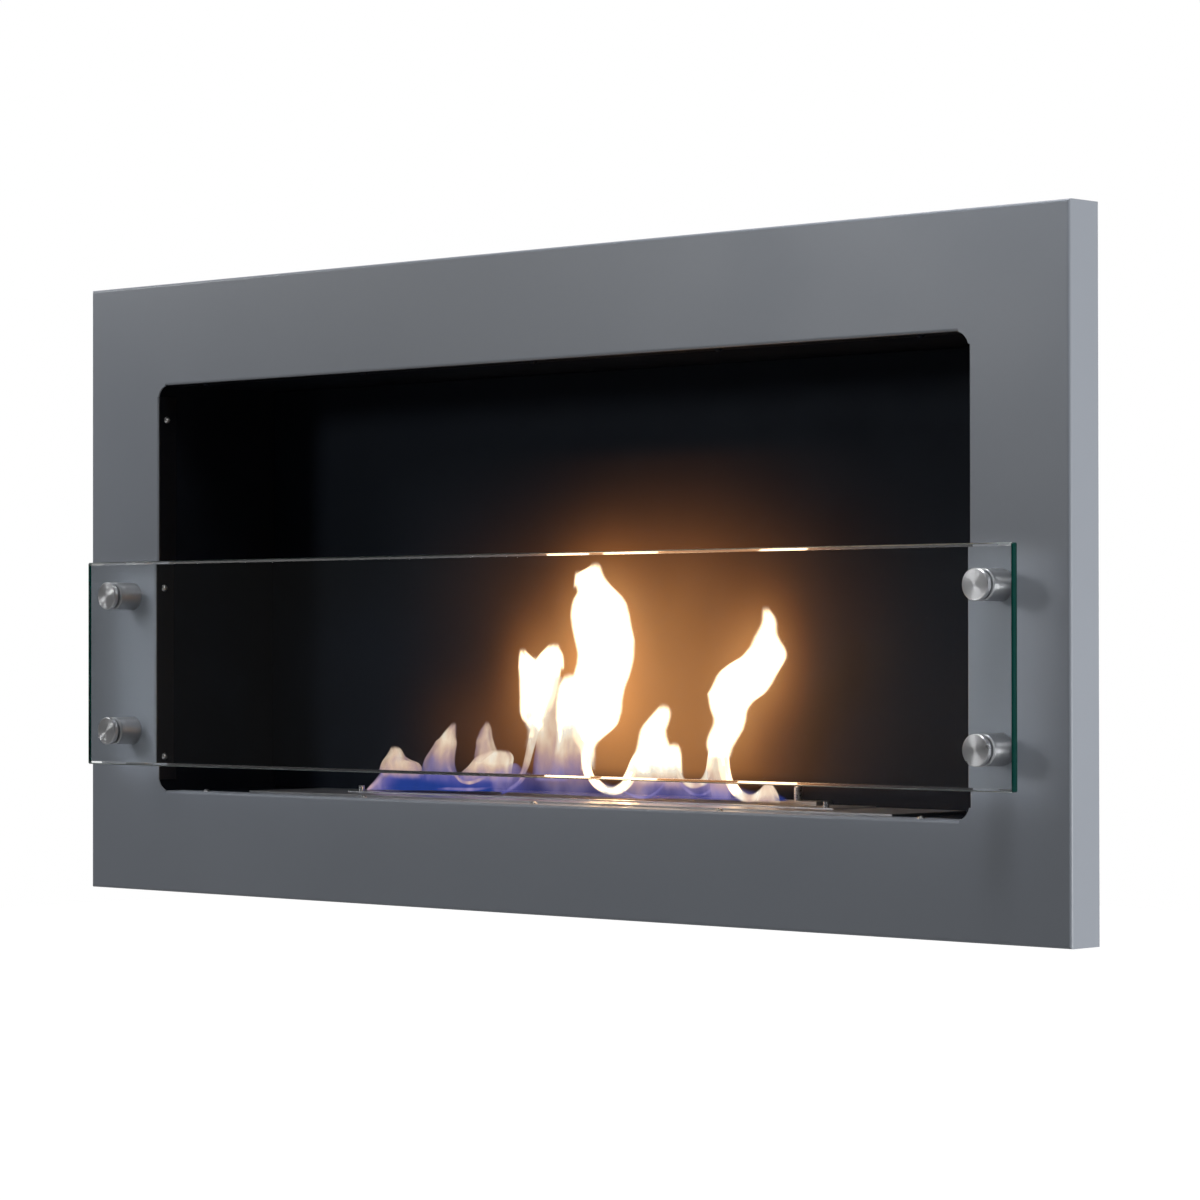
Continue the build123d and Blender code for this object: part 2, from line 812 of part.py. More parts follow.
def rear_gaskets():
    face = (glass_back_y, glass_back_y + gasket_thickness)
    return group(rings_on_standoffs(gasket_diameter, standoff_stem + 2 * sleeve_clearance, face))


def standoff_barrels():
    """Steel tubes between the frame's face and the glass."""
    depth = (glass_back_y + gasket_thickness, front_y)
    bore = standoff_stem + 2 * sleeve_clearance
    barrels = []
    for ring in rings_on_standoffs(standoff_diameter, bore, depth):
        rim = ring.faces().sort_by(Axis.Y)[0].outer_wire().edges()
        barrels.append(chamfer(rim, standoff_chamfer))
    return group(barrels)


def standoff_caps():
    """Round heads in front of the glass, each with a stem down into its barrel."""
    seat_y = glass_front_y - gasket_thickness
    tip_y = glass_back_y + gasket_thickness + standoff_stem_in_barrel
    caps = []
    for x, z in standoff_places:
        head = rod(standoff_diameter, (x, seat_y, z), (x, seat_y - standoff_cap_height, z))
        head = chamfer(head.edges().sort_by(Axis.Y)[0], standoff_chamfer)
        caps.append(head + rod(standoff_stem, (x, seat_y, z), (x, tip_y, z)))
    return group(caps)


def standoff_washers():
    depth = (frame_back_face_y, frame_back_face_y + standoff_washer_thickness)
    return group(rings_on_standoffs(standoff_washer, standoff_stem + hole_clearance, depth))


def standoff_screws():
    """Hexagon screws from behind the frame's face into the barrels."""
    seat_y = frame_back_face_y + standoff_washer_thickness
    screws = []
    for x, z in standoff_places:
        head = hexagon(standoff_head_flats, (x, seat_y, z), (x, seat_y + standoff_head_height, z))
        screws.append(head + rod(standoff_stem, (x, seat_y, z), (x, front_y - standoff_screw_in_barrel, z)))
    return group(screws)


def all_pieces():
    """Every node's name with its shape."""
    return {
        "front_frame": front_frame(),
        "side_tab_screws": side_tab_screws(),
        "top_tab_screws": row_tab_screws(1),
        "bottom_tab_screws": row_tab_screws(-1),
        "tab_nuts": tab_nuts(),
        "left_cheek": cheek(-1),
        "right_cheek": cheek(1),
        "firebox_roof": row_panel(1),
        "firebox_floor": firebox_floor(),
        "casing_back": casing_back(),
        "fire_back": fire_back(),
        "back_rivets": back_rivets(),
        "corner_rivets": corner_rivets(),
        "overflow_well": overflow_well(),
        "well_rivets": well_rivets(),
        "floor_plate": floor_plate(),
        "burner_top_plate": burner_top_plate(),
        "burner_tank": burner_tank(),
        "absorbent_wool": absorbent_wool(),
        "wool_cover": wool_cover(),
        "lift_pins": lift_pins(),
        "sliding_lid": sliding_lid(),
        "lid_handle": lid_handle(),
        "lid_guide_screws": lid_guide_screws(),
        "lid_guide_washers": lid_guide_washers(),
        "lid_guide_nuts": lid_guide_nuts(),
        "glass_guard": glass_guard(),
        "glass_sleeves": glass_sleeves(),
        "front_gaskets": front_gaskets(),
        "rear_gaskets": rear_gaskets(),
        "standoff_barrels": standoff_barrels(),
        "standoff_caps": standoff_caps(),
        "standoff_washers": standoff_washers(),
        "standoff_screws": standoff_screws(),
    }


os.makedirs("parts", exist_ok=True)
for name, shape in all_pieces().items():
    export_step(shape, f"parts/{name}.step")
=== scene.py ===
"""Wall-mounted spirit fireplace: finishes, wool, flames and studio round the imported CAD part."""
import math

import bpy
from bpy.props import FloatProperty, FloatVectorProperty, PointerProperty
from bpy.types import Operator, Panel, PropertyGroup
from mathutils import Matrix, Vector


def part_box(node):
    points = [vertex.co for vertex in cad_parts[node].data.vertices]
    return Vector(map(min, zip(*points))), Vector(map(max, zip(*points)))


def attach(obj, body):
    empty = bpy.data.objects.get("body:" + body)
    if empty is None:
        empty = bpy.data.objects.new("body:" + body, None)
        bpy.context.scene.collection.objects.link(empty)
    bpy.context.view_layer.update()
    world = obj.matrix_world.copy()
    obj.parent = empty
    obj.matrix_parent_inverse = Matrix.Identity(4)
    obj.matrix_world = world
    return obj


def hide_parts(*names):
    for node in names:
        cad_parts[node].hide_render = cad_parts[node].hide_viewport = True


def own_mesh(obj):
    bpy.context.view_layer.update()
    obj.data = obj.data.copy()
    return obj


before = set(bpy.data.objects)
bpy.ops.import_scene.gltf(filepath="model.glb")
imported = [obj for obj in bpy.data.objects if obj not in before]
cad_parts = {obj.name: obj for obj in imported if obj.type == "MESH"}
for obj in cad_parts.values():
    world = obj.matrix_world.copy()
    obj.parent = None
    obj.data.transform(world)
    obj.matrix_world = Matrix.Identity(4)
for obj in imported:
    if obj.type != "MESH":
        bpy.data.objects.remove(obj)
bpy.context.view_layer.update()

bl_info = {
    "name": "Wall Fireplace Looks",
    "version": (1, 0, 0),
    "blender": (4, 5, 0),
    "location": "3D View > Sidebar > Fireplace",
    "description": "Finishes, wool, flames and studio for a wall-mounted spirit fireplace",
    "category": "Object",
}

MM = 0.001
BLACK = (0.0, 0.0, 0.0, 1.0)
WHITE = (1.0, 1.0, 1.0, 1.0)

# Sizes read from the CAD part, and sizes in part.py that no box gives

frame_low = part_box("front_frame")[0]
glass_low, glass_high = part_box("glass_guard")
cap_low, cap_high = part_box("standoff_caps")
wool_low, wool_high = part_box("absorbent_wool")

FRONT_Y = frame_low.y
GLASS_MIDDLE_Z = (glass_low.z + glass_high.z) / 2
GLASS_HALF_Z = (glass_high.z - glass_low.z) / 2
STANDOFF_RADIUS = 12 * MM
STANDOFF_X = cap_high.x - STANDOFF_RADIUS
STANDOFF_RISE = (cap_high.z - cap_low.z) / 2 - STANDOFF_RADIUS

OPENING_X = 457.5 * MM
OPENING_Z = 180 * MM
OPENING_MIDDLE_Z = -0.5 * MM
MOUTH_Y = -68 * MM

# The frame's black paint begins behind the face sheet and reaches into the tabs' sheet. The lower tab
# keeps its powder coat up to this height.
BEHIND_FACE = 1.3 * MM
INTO_TAB = 1.2 * MM
COATED_FOOT = 4 * MM

# The heat tint beside the mouth: how far it wanders, and where it fades across and towards the ends.
TINT_WANDER = 16 * MM
TINT_ACROSS = (10 * MM, 34 * MM)
TINT_ALONG = (200 * MM, 270 * MM)

# The glass's polished skins, in from its outside, and the width of its ground edge.
END_SKIN = (1.4 * MM, 0.9 * MM)
RIM_SKIN = (1.3 * MM, 0.8 * MM)
FRONT_SKIN = (0.5 * MM, 1.5 * MM)
GROUND_EDGE = 2.6 * MM

# Marks of the lathe in a metre.
LATHE_MARKS = 7000.0

# The wool: room for its tufts, their size and rise, its rounded edge, its slices, and its fuel stain.
TUFT_ROOM = 2 * MM
TUFT_SIZE = 9 * MM
TUFT_RISE = 1.6 * MM
WOOL_EDGE = 4 * MM
WOOL_SLICE = 29 * MM
STAIN_WANDER = 14 * MM
STAIN_HALF = 8 * MM

# The mesh attribute that carries the gas, and the places of its colours on the scale of heat.
GAS = "gas_record"
TONE_PLACES = (0.0, 0.15, 0.30, 0.45, 0.60, 0.75, 0.88)

# The flames, in millimetres. A tongue fades out past its stations by a share of its soft edge, and its
# half depth has a limit. Tongues and licks stray from the plane, and the curtain lies behind it.
FADE_SHARE = 0.34
MOST_DEPTH = 6.5
TONGUE_STRAY = 1.2
LICK_STRAY = 0.8
LICK_BEVEL = 3.0
CURTAIN_SETBACK = 2.5
CURTAIN_DEPTH = 3.5
CURTAIN_SOFT_TOP = 5.0
CURTAIN_SOFT_FOOT = 1.5

# The studio in metres. Each lamp: its place, its target, its size and its watts.
FLOOR_SIZE = 14.0
FLOOR_GLOW = 0.80
LAMPS = {
    "key_lamp": ((-1.36, -2.25, 0.62), (0.0, -0.15, 0.0), 0.45, 10.0),
    "right_lamp": ((0.54, -0.45, 0.74), (0.45, -0.15, 0.0), 0.25, 2.4),
    "left_lamp": ((-1.05, -0.60, 0.55), (-0.5, -0.15, 0.0), 0.30, 2.3),
    "side_lamp": ((2.0, 0.30, -0.35), (0.55, -0.09, 0.0), 0.8, 18.5),
    "high_side_lamp": ((2.4, -0.08, 1.1), (0.5, -0.16, 0.0), 0.3, 14.0),
    "top_lamp": ((0.1, -0.06, 2.0), (0.1, -0.17, 0.0), 0.4, 24.0),
}


# Shader maths

def maths_method(operation, swapped=False):
    """A Math node on a link and another value, the other one first if swapped."""
    def method(link, other):
        values = (other, link) if swapped else (link, other)
        return link.finish.maths(operation, *values)
    return method


class Link:
    """One socket of a finish. Ordinary maths on it adds Math nodes."""

    def __init__(self, finish, socket):
        self.finish = finish
        self.socket = socket

    def of(self, name):
        """Another output of the same node."""
        return Link(self.finish, find_socket(self.socket.node.outputs, name))

    __add__, __radd__ = maths_method("ADD"), maths_method("ADD", True)
    __sub__, __rsub__ = maths_method("SUBTRACT"), maths_method("SUBTRACT", True)
    __mul__, __rmul__ = maths_method("MULTIPLY"), maths_method("MULTIPLY", True)
    __truediv__, __rtruediv__ = maths_method("DIVIDE"), maths_method("DIVIDE", True)
    __pow__, __rpow__ = maths_method("POWER"), maths_method("POWER", True)
    __gt__, __lt__ = maths_method("GREATER_THAN"), maths_method("LESS_THAN")

    def __abs__(self):
        return self.finish.maths("ABSOLUTE", self)


def find_socket(sockets, key):
    if isinstance(key, int):
        return sockets[key]
    for socket in sockets:
        if key == socket.identifier or (key == socket.name and socket.enabled):
            return socket
    raise KeyError(f"no socket {key!r} among {[s.name for s in sockets]}")


class Finish:
    """A node tree under one name: a material's, or the world's."""

    def __init__(self, owner):
        owner.use_nodes = True
        self.owner = owner
        self.tree = owner.node_tree
        self.tree.nodes.clear()

    def node(self, kind, settings=None, sockets=None):
        """Adds a node: its settings first, then the values or links of its sockets."""
        made = self.tree.nodes.new(kind)
        for name, value in (settings or {}).items():
            if name == "stops":
                self.stops(made.color_ramp.elements, value)
            else:
                setattr(made, name, value)
        for key, value in (sockets or {}).items():
            socket = find_socket(made.inputs, key)
            if isinstance(value, Link):
                self.tree.links.new(value.socket, socket)
            else:
                socket.default_value = value
        for socket in made.outputs:
            if socket.enabled:
                return Link(self, socket)
        return None

    def stops(self, elements, stops):
        """Sets a colour ramp's stops: (place, colour)."""
        elements[0].position, elements[0].color = stops[0]
        elements[1].position, elements[1].color = stops[-1]
        for place, colour in stops[1:-1]:
            elements.new(place).color = colour

    def maths(self, operation, *values):
        return self.node("ShaderNodeMath", {"operation": operation}, dict(enumerate(values)))

    def vector(self, operation, *values):
        return self.node("ShaderNodeVectorMath", {"operation": operation}, dict(enumerate(values)))

    def where(self):
        """Object coordinates."""
        return self.node("ShaderNodeTexCoord").of("Object")

    def parts(self, vector):
        """The X, Y and Z of a vector."""
        first = self.node("ShaderNodeSeparateXYZ", None, {"Vector": vector})
        return first, first.of("Y"), first.of("Z")

    def join(self, x, y, z):
        """A vector of three parts."""
        return self.node("ShaderNodeCombineXYZ", None, {"X": x, "Y": y, "Z": z})

    def noise(self, where, scale, detail=2.0, stretch=(1.0, 1.0, 1.0)):
        """Noise from 0 to 1, so many times a metre, stretched along the axes."""
        if tuple(stretch) != (1.0, 1.0, 1.0):
            where = self.node("ShaderNodeMapping", {"vector_type": "POINT"},
                              {"Vector": where, "Scale": stretch})
        return self.node("ShaderNodeTexNoise", None, {"Vector": where, "Scale": scale, "Detail": detail})

    def ramp(self, value, low, high, to_low=0.0, to_high=1.0):
        """A smooth step from one value to another."""
        settings = {"interpolation_type": "SMOOTHSTEP", "clamp": True}
        return self.node("ShaderNodeMapRange", settings,
                         {"Value": value, "From Min": low, "From Max": high,
                          "To Min": to_low, "To Max": to_high})

    def spread(self, noise, low, high):
        """Noise, most of which lies from 0.2 to 0.8, as values from low to high."""
        return self.ramp(noise, 0.2, 0.8, low, high)

    def mix(self, factor, first, second):
        """One colour turning to another."""
        return self.node("ShaderNodeMix", {"data_type": "RGBA"},
                         {"Factor_Float": factor, "A_Color": first, "B_Color": second})

    def shades(self, factor, colour, dark, light):
        """A darker shade of a colour turning to a lighter one."""
        return self.mix(factor, shade(colour, dark), shade(colour, light))

    def bump(self, height, strength, distance):
        return self.node("ShaderNodeBump", None,
                         {"Height": height, "Strength": strength, "Distance": distance})

    def shader(self, **values):
        """The Principled shader; a socket's spaces are written as underscores."""
        return self.node("ShaderNodeBsdfPrincipled", None,
                         {name.replace("_", " "): value for name, value in values.items()})

    def glow(self, colour, strength, **values):
        """Glowing gas, which reflects nothing."""
        return self.shader(Base_Color=BLACK, Roughness=1.0, Specular_IOR_Level=0.0,
                           Emission_Color=colour, Emission_Strength=strength, **values)

    def done(self, surface):
        self.node("ShaderNodeOutputMaterial", None, {"Surface": surface})
        return self.owner


def finish_named(name):
    return Finish(bpy.data.materials.new(name))


def shade(colour, amount=1.0):
    """A colour as the four numbers that a socket takes, made darker or lighter."""
    return tuple(part * amount for part in colour[:3]) + (1.0,)


# Finishes

def powder_coat(paint):
    """Blue-grey powder coat with orange peel, and black paint on the opening's side and top tabs."""
    f = finish_named("frame_powder_coat_paint")
    where = f.where()
    x, y, z = f.parts(where)
    peel = f.noise(where, 520.0, 2.0)
    grit = f.noise(where, 2600.0, 1.0)
    cloud = f.noise(where, 7.0, 3.0)
    coat = f.shades(cloud, paint.frame_colour, 0.97, 1.03)
    coat = f.mix(f.ramp(grit, 0.62, 0.8, 0.0, 0.12), coat, shade(paint.frame_colour, 1.5))
    above_foot = z > OPENING_MIDDLE_Z - OPENING_Z + COATED_FOOT
    under_top = z < OPENING_MIDDLE_Z + OPENING_Z + INTO_TAB
    inside = (y > FRONT_Y + BEHIND_FACE) * (abs(x) < OPENING_X + INTO_TAB) * above_foot * under_top
    dust = f.ramp(f.noise(where, 60.0, 4.0), 0.5, 0.9, 0.0, 0.3)
    black = f.shades(dust, paint.lining_colour, 1.0, 2.0)
    rough = f.ramp(cloud, 0.3, 0.7, paint.frame_roughness - 0.02, paint.frame_roughness + 0.03)
    return f.done(f.shader(Base_Color=f.mix(inside, coat, black), Roughness=rough - inside * 0.08,
                           Normal=f.bump(peel * 0.7 + grit * 0.3, 0.10, 0.0004)))


def black_paint(paint):
    """Matt black heat paint: fine grain, and cloudy patches that are paler and rougher."""
    f = finish_named("black_heat_paint_satin")
    where = f.where()
    grain = f.noise(where, 1500.0, 2.0)
    cloud = f.noise(where, 14.0, 4.0)
    colour = f.shades(f.ramp(cloud, 0.35, 0.75), paint.lining_colour, 1.0, 1.5)
    rough = f.ramp(cloud, 0.25, 0.8, paint.lining_roughness - 0.04, paint.lining_roughness + 0.08)
    return f.done(f.shader(Base_Color=colour, Roughness=rough, Specular_IOR_Level=0.14,
                           Specular_Tint=(0.62, 0.76, 1.0, 1.0), Normal=f.bump(grain, 0.12, 0.0003)))


def brushed_steel(name, metal, stretch, heat=0.0):
    """Stainless sheet brushed along its length, straw-coloured where the fire heats it."""
    f = finish_named(name)
    where = f.where()
    lines = f.noise(where, 1.0, 3.0, stretch)
    fine = f.noise(where, 2.3, 2.0, stretch)
    cloud = f.noise(where, 11.0, 3.0)
    colour = f.shades(lines, metal.steel_colour, 0.86, 1.08)
    if heat:
        x, y = f.parts(where)[:2]
        tint = f.ramp(abs(y - MOUTH_Y) + cloud * TINT_WANDER, *TINT_ACROSS, heat, 0.0)
        along = f.ramp(abs(x), *TINT_ALONG, 1.0, 0.0)
        colour = f.mix(tint * along, colour, shade(metal.heat_colour))
    rough = f.spread(lines, metal.steel_roughness - 0.05, metal.steel_roughness + 0.09)
    return f.done(f.shader(Base_Color=colour, Metallic=1.0, Roughness=rough + cloud * 0.04,
                           Normal=f.bump(lines * 0.6 + fine * 0.4, 0.22, 0.0002)))


def turned_steel(metal):
    """Stainless turned in a lathe: rings on the ends and round the barrels."""
    f = finish_named("standoff_turned_stainless")
    where = f.where()
    x, y, z = f.parts(where)
    above = z - GLASS_MIDDLE_Z
    out_x = x - f.maths("SIGN", x) * STANDOFF_X
    out_z = above - f.maths("SIGN", above) * STANDOFF_RISE
    outwards = f.join(out_x, 0.0, out_z)
    radius = f.join(f.vector("LENGTH", outwards).of("Value"), y, 0.0)
    rings = f.noise(radius, LATHE_MARKS, 1.0, (1.0, 0.0, 0.0))
    turns = f.noise(radius, LATHE_MARKS, 1.0, (0.0, 1.0, 0.0))
    facing = f.node("ShaderNodeNewGeometry").of("Normal")
    face = f.parts(facing)[1]
    flat = face * face
    ring_lean = (rings - 0.5) * flat * metal.turning_lean
    lean = f.node("ShaderNodeVectorMath", {"operation": "SCALE"},
                  {"Vector": f.vector("NORMALIZE", outwards), "Scale": ring_lean})
    tilt = f.join(0.0, (turns - 0.5) * (1 - flat) * metal.turning_lean, 0.0)
    normal = f.vector("NORMALIZE", f.vector("ADD", facing, f.vector("ADD", lean, tilt)))
    colour = f.shades(rings * flat + turns * (1 - flat), metal.steel_colour, 0.88, 1.1)
    return f.done(f.shader(Base_Color=colour, Metallic=1.0, Normal=normal,
                           Roughness=f.spread(f.noise(where, 90.0, 3.0), 0.27, 0.34)))


def bright_zinc(metal):
    """Zinc-plated and stainless fasteners, finely scratched."""
    f = finish_named("bright_fastener_zinc")
    where = f.where()
    grain = f.noise(where, 900.0, 3.0)
    cloud = f.noise(where, 150.0, 2.0)
    return f.done(f.shader(Base_Color=f.shades(cloud, metal.zinc_colour, 0.88, 1.06), Metallic=1.0,
                           Roughness=f.spread(grain, 0.22, 0.36), Normal=f.bump(grain, 0.08, 0.0002)))


def moulded(name, grains, dark, light, rough, **more):
    """A moulded part: a fine grain in its colour, roughness and relief."""
    f = finish_named(name)
    grain = f.noise(f.where(), grains, 3.0)
    return f.done(f.shader(Base_Color=f.mix(grain, dark, light), Roughness=f.spread(grain, *rough),
                           Normal=f.bump(grain, 0.1, 0.0002), **more))


def grey_silicone():
    """Grey silicone against the glass."""
    return moulded("silicone_washer_rubber", 800.0, (0.36, 0.37, 0.39, 1.0), (0.46, 0.47, 0.48, 1.0),
                   (0.5, 0.65))


def pale_nylon():
    """Natural nylon, milky, with mould marks."""
    return moulded("nylon_sleeve_natural", 500.0, (0.62, 0.61, 0.56, 1.0), (0.72, 0.71, 0.67, 1.0),
                   (0.38, 0.5), Subsurface_Weight=0.15, Subsurface_Radius=(0.002, 0.002, 0.002))


def guard_glass(glass):
    """Clear tempered glass, green through its polished ends; lamps shine through it."""
    f = finish_named("guard_glass_clear")
    where = f.where()
    x, y, z = f.parts(where)
    smear = f.noise(where, 30.0, 4.0, (1.0, 1.0, 0.5))
    end = f.ramp(abs(x), *(glass_high.x - skin for skin in END_SKIN))
    from_middle = abs(z - GLASS_MIDDLE_Z)
    rim = f.ramp(from_middle, *(GLASS_HALF_Z - skin for skin in RIM_SKIN))
    front = f.ramp(y, *(glass_low.y + skin for skin in FRONT_SKIN), 1.0, 0.0)
    ground = f.maths("MINIMUM", GLASS_HALF_Z - from_middle, GROUND_EDGE) * front
    clear = f.shader(Base_Color=f.mix(rim, shade(glass.face_colour), shade(glass.rim_colour)),
                     Roughness=f.ramp(smear, 0.45, 0.8, 0.0, 0.015) + rim * 0.28,
                     IOR=1.5, Transmission_Weight=1.0, Normal=f.bump(ground, 1.0, 1.0))
    polish = f.noise(where, 700.0, 3.0, (0.2, 1.0, 0.2))
    edge = f.shader(Base_Color=f.shades(polish, glass.edge_colour, 0.85, 1.15),
                    Roughness=f.spread(polish, 0.1, 0.2))
    body = f.node("ShaderNodeMixShader", None, {0: end + (1 - end) * rim * 0.12, 1: clear, 2: edge})
    lamp = f.node("ShaderNodeLightPath").of("Is Shadow Ray")
    open_way = f.node("ShaderNodeBsdfTransparent", None, {"Color": shade(glass.lamp_colour)})
    return f.done(f.node("ShaderNodeMixShader", None, {0: lamp, 1: body, 2: open_way}))


def fibre_wool():
    """White ceramic wool: matted fibres, stained where the fuel wets it."""
    f = finish_named("ceramic_wool_fibre")
    where = f.where()
    strands = f.noise(where, 260.0, 5.0, (0.35, 1.0, 1.6))
    tufts = f.noise(where, 45.0, 4.0)
    height = f.parts(where)[2]
    stain = f.ramp(height + tufts * STAIN_WANDER, wool_high.z - STAIN_HALF, wool_high.z + STAIN_HALF)
    colour = f.mix(strands, (0.58, 0.56, 0.51, 1.0), (0.78, 0.77, 0.73, 1.0))
    colour = f.mix(stain * 0.5, colour, (0.42, 0.38, 0.31, 1.0))
    return f.done(f.shader(Base_Color=colour, Roughness=f.spread(strands, 0.85, 0.98), Sheen_Weight=0.25,
                           Normal=f.bump(strands * 0.6 + tufts * 0.4, 0.7, 0.0012)))


def gas_finish(fire):
    """Burning gas: blue at its foot, cream and white where it is hot, clear at its edges."""
    f = finish_named("burning_gas_flame")
    where = f.where()
    depth, heat, thick = f.parts(f.node("ShaderNodeAttribute", {"attribute_name": GAS}).of("Vector"))
    cool = f.ramp(heat, 0.80, 1.0, 1.0, 0.0)
    streaks = f.noise(where, 1.0, 1.5, (62.0, 62.0, 15.0)) - 0.5
    wisps = f.noise(where, 1.0, 2.5, (75.0, 75.0, 48.0)) - 0.5
    skin = f.ramp(depth + wisps * 0.45, 0.0, 1.0)
    warmth = heat + (streaks + wisps) * (heat * cool * 1.1) - (1 - skin) * heat * 0.12
    tones = (fire.blue_colour, fire.violet_colour, fire.lilac_colour, fire.rose_colour,
             fire.cream_colour, fire.pale_colour, fire.white_colour)
    stops = [(place, shade(tone, 1 / fire.strength)) for place, tone in zip(TONE_PLACES, tones)]
    stops.append((1.0, shade(fire.hot_colour)))
    glow = f.node("ShaderNodeValToRGB", {"stops": stops}, {"Fac": warmth})
    return f.done(f.glow(glow, fire.strength, Alpha=skin ** 2.0 * thick * (1 + streaks * cool * 1.3)))


def heart_finish(fire):
    """The hottest gas, hidden inside of the flames; it lights the plate and the tabs."""
    f = finish_named("flame_heart_gas")
    flicker = f.noise(f.where(), 60.0, 2.0)
    return f.done(f.glow(f.shades(flicker, fire.heart_colour, 0.8, 1.0), fire.heart_strength))


def painted_glow_finish(fire):
    """A painted glow round the flames, in place of the light that they throw round them, thinning outwards
    from each of them.
    """
    f = finish_named("flame_painted_glow")
    where = f.where()
    x, z = f.parts(where)[::2]
    puffs = []
    for middle, height, across, upwards, amount in HAZE:
        far = ((x - middle * MM) / (across * MM)) ** 2.0 + ((z - height * MM) / (upwards * MM)) ** 2.0
        puffs.append(amount * f.maths("EXPONENT", far * -0.5))
    haze = sum(puffs[1:], puffs[0])
    rim = (f.ramp(abs(x - HAZE_MIDDLE.x), 0.7 * HAZE_HALF.x, HAZE_HALF.x, 1.0, 0.0)
           * f.ramp(abs(z - HAZE_MIDDLE.z), 0.85 * HAZE_HALF.z, HAZE_HALF.z, 1.0, 0.0))
    drift = f.noise(where, 14.0, 3.0)
    glow = f.mix(f.ramp(haze, 0.05, 0.5), shade(fire.painted_glow_colour), shade(fire.painted_glow_heart))
    return f.done(f.glow(glow, HAZE_GLOW, Alpha=haze * (0.85 + 0.3 * drift) * rim * fire.painted_glow_amount))


# Modelling

def select_nothing():
    if bpy.context.object and bpy.context.object.mode != "OBJECT":
        bpy.ops.object.mode_set(mode="OBJECT")
    bpy.ops.object.select_all(action="DESELECT")


def choose(piece):
    """Selects one piece alone and makes it active."""
    select_nothing()
    bpy.context.view_layer.objects.active = piece
    piece.select_set(True)


def settle(piece, name):
    """Gives a piece its name and puts its place into its mesh."""
    piece.name = piece.data.name = name
    choose(piece)
    bpy.ops.object.transform_apply(location=True, rotation=True, scale=True)
    return piece


def start_shaping(place, size):
    """Edit mode, with the whole mesh selected and resized about a place."""
    bpy.ops.object.mode_set(mode="EDIT")
    bpy.ops.mesh.select_all(action="SELECT")
    bpy.ops.transform.resize(value=size, center_override=place)


def stop_shaping():
    """Turns all faces outwards and leaves edit mode."""
    bpy.ops.mesh.select_all(action="SELECT")
    bpy.ops.mesh.normals_make_consistent(inside=False)
    bpy.ops.object.mode_set(mode="OBJECT")


def apply_last(piece):
    """Applies a piece's last modifier."""
    bpy.ops.object.modifier_apply(modifier=piece.modifiers[-1].name)


def round_off(piece, levels):
    """Subdivision Surface, applied, and smooth shading."""
    choose(piece)
    bpy.ops.object.modifier_add(type="SUBSURF")
    piece.modifiers[-1].levels = piece.modifiers[-1].render_levels = levels
    apply_last(piece)
    bpy.ops.object.shade_smooth()
    return piece


def extrude_along(start, size, steps):
    """Extrudes the selected end face through steps of (centre, size), from one centre and size."""
    for centre, new_size in steps:
        bpy.ops.mesh.extrude_region_move(TRANSFORM_OT_translate={"value": centre - start})
        bpy.ops.transform.resize(value=[new / old for new, old in zip(new_size, size)],
                                 center_override=centre)
        start, size = centre, new_size


def loft(name, rings, sides):
    """A closed form drawn up through flat elliptical rings: (centre, size)."""
    select_nothing()
    centre, size = rings[0]
    bpy.ops.mesh.primitive_circle_add(vertices=sides, radius=1.0, fill_type="NGON", location=centre)
    piece = bpy.context.object
    start_shaping(centre, size)
    extrude_along(centre, size, rings[1:])
    stop_shaping()
    return round_off(settle(piece, name), 2)


def between(stops, place):
    """The values at a place among stops of (place, values...), in line between their neighbours."""
    if place <= stops[0][0]:
        return stops[0][1:]
    for low, high in zip(stops, stops[1:]):
        if place <= high[0]:
            share = (place - low[0]) / (high[0] - low[0])
            return tuple(start + share * (end - start) for start, end in zip(low[1:], high[1:]))
    return stops[-1][1:]


def record_gas(piece, gas):
    """Keeps in each point how deep it is inside the flame, how hot and how thick the gas is there."""
    record = piece.data.attributes.new(GAS, "FLOAT_VECTOR", "POINT")
    for point, entry in zip(piece.data.vertices, record.data):
        depth, heat, thick = gas(point)
        entry.vector = (min(max(depth, 0.0), 1.0), heat, thick)


def tongue_of_fire(name, depth, sway, soft, stops, stations, plane_y):
    """A flame's tongue through its stations, flattened along the wall."""
    spread = FADE_SHARE * soft
    low, high = stations[0], stations[-1]
    stations = ((low[0] - spread, low[1], low[2] * 0.8), *stations,
                (high[0] + spread, high[1], high[2] * 0.3))
    rings = []
    for count, (height, middle, half) in enumerate(stations):
        lean = sway * math.sin(1.1 * count)
        deep = min(depth * (half + spread), MOST_DEPTH)
        rings.append((Vector((middle * MM, (plane_y + lean) * MM, height * MM)),
                      ((half + spread) * MM, deep * MM, 1.0)))
    tongue = loft(name, rings, 12)
    top, bottom = high[0] + spread, low[0] - spread

    def gas(point):
        across, height = point.co.x / MM, point.co.z / MM
        middle, half = between(stations, height)
        inside = min(half + spread - abs(across - middle), top - height, height - bottom)
        return (inside / soft, *between(stops, height))

    record_gas(tongue, gas)
    return tongue


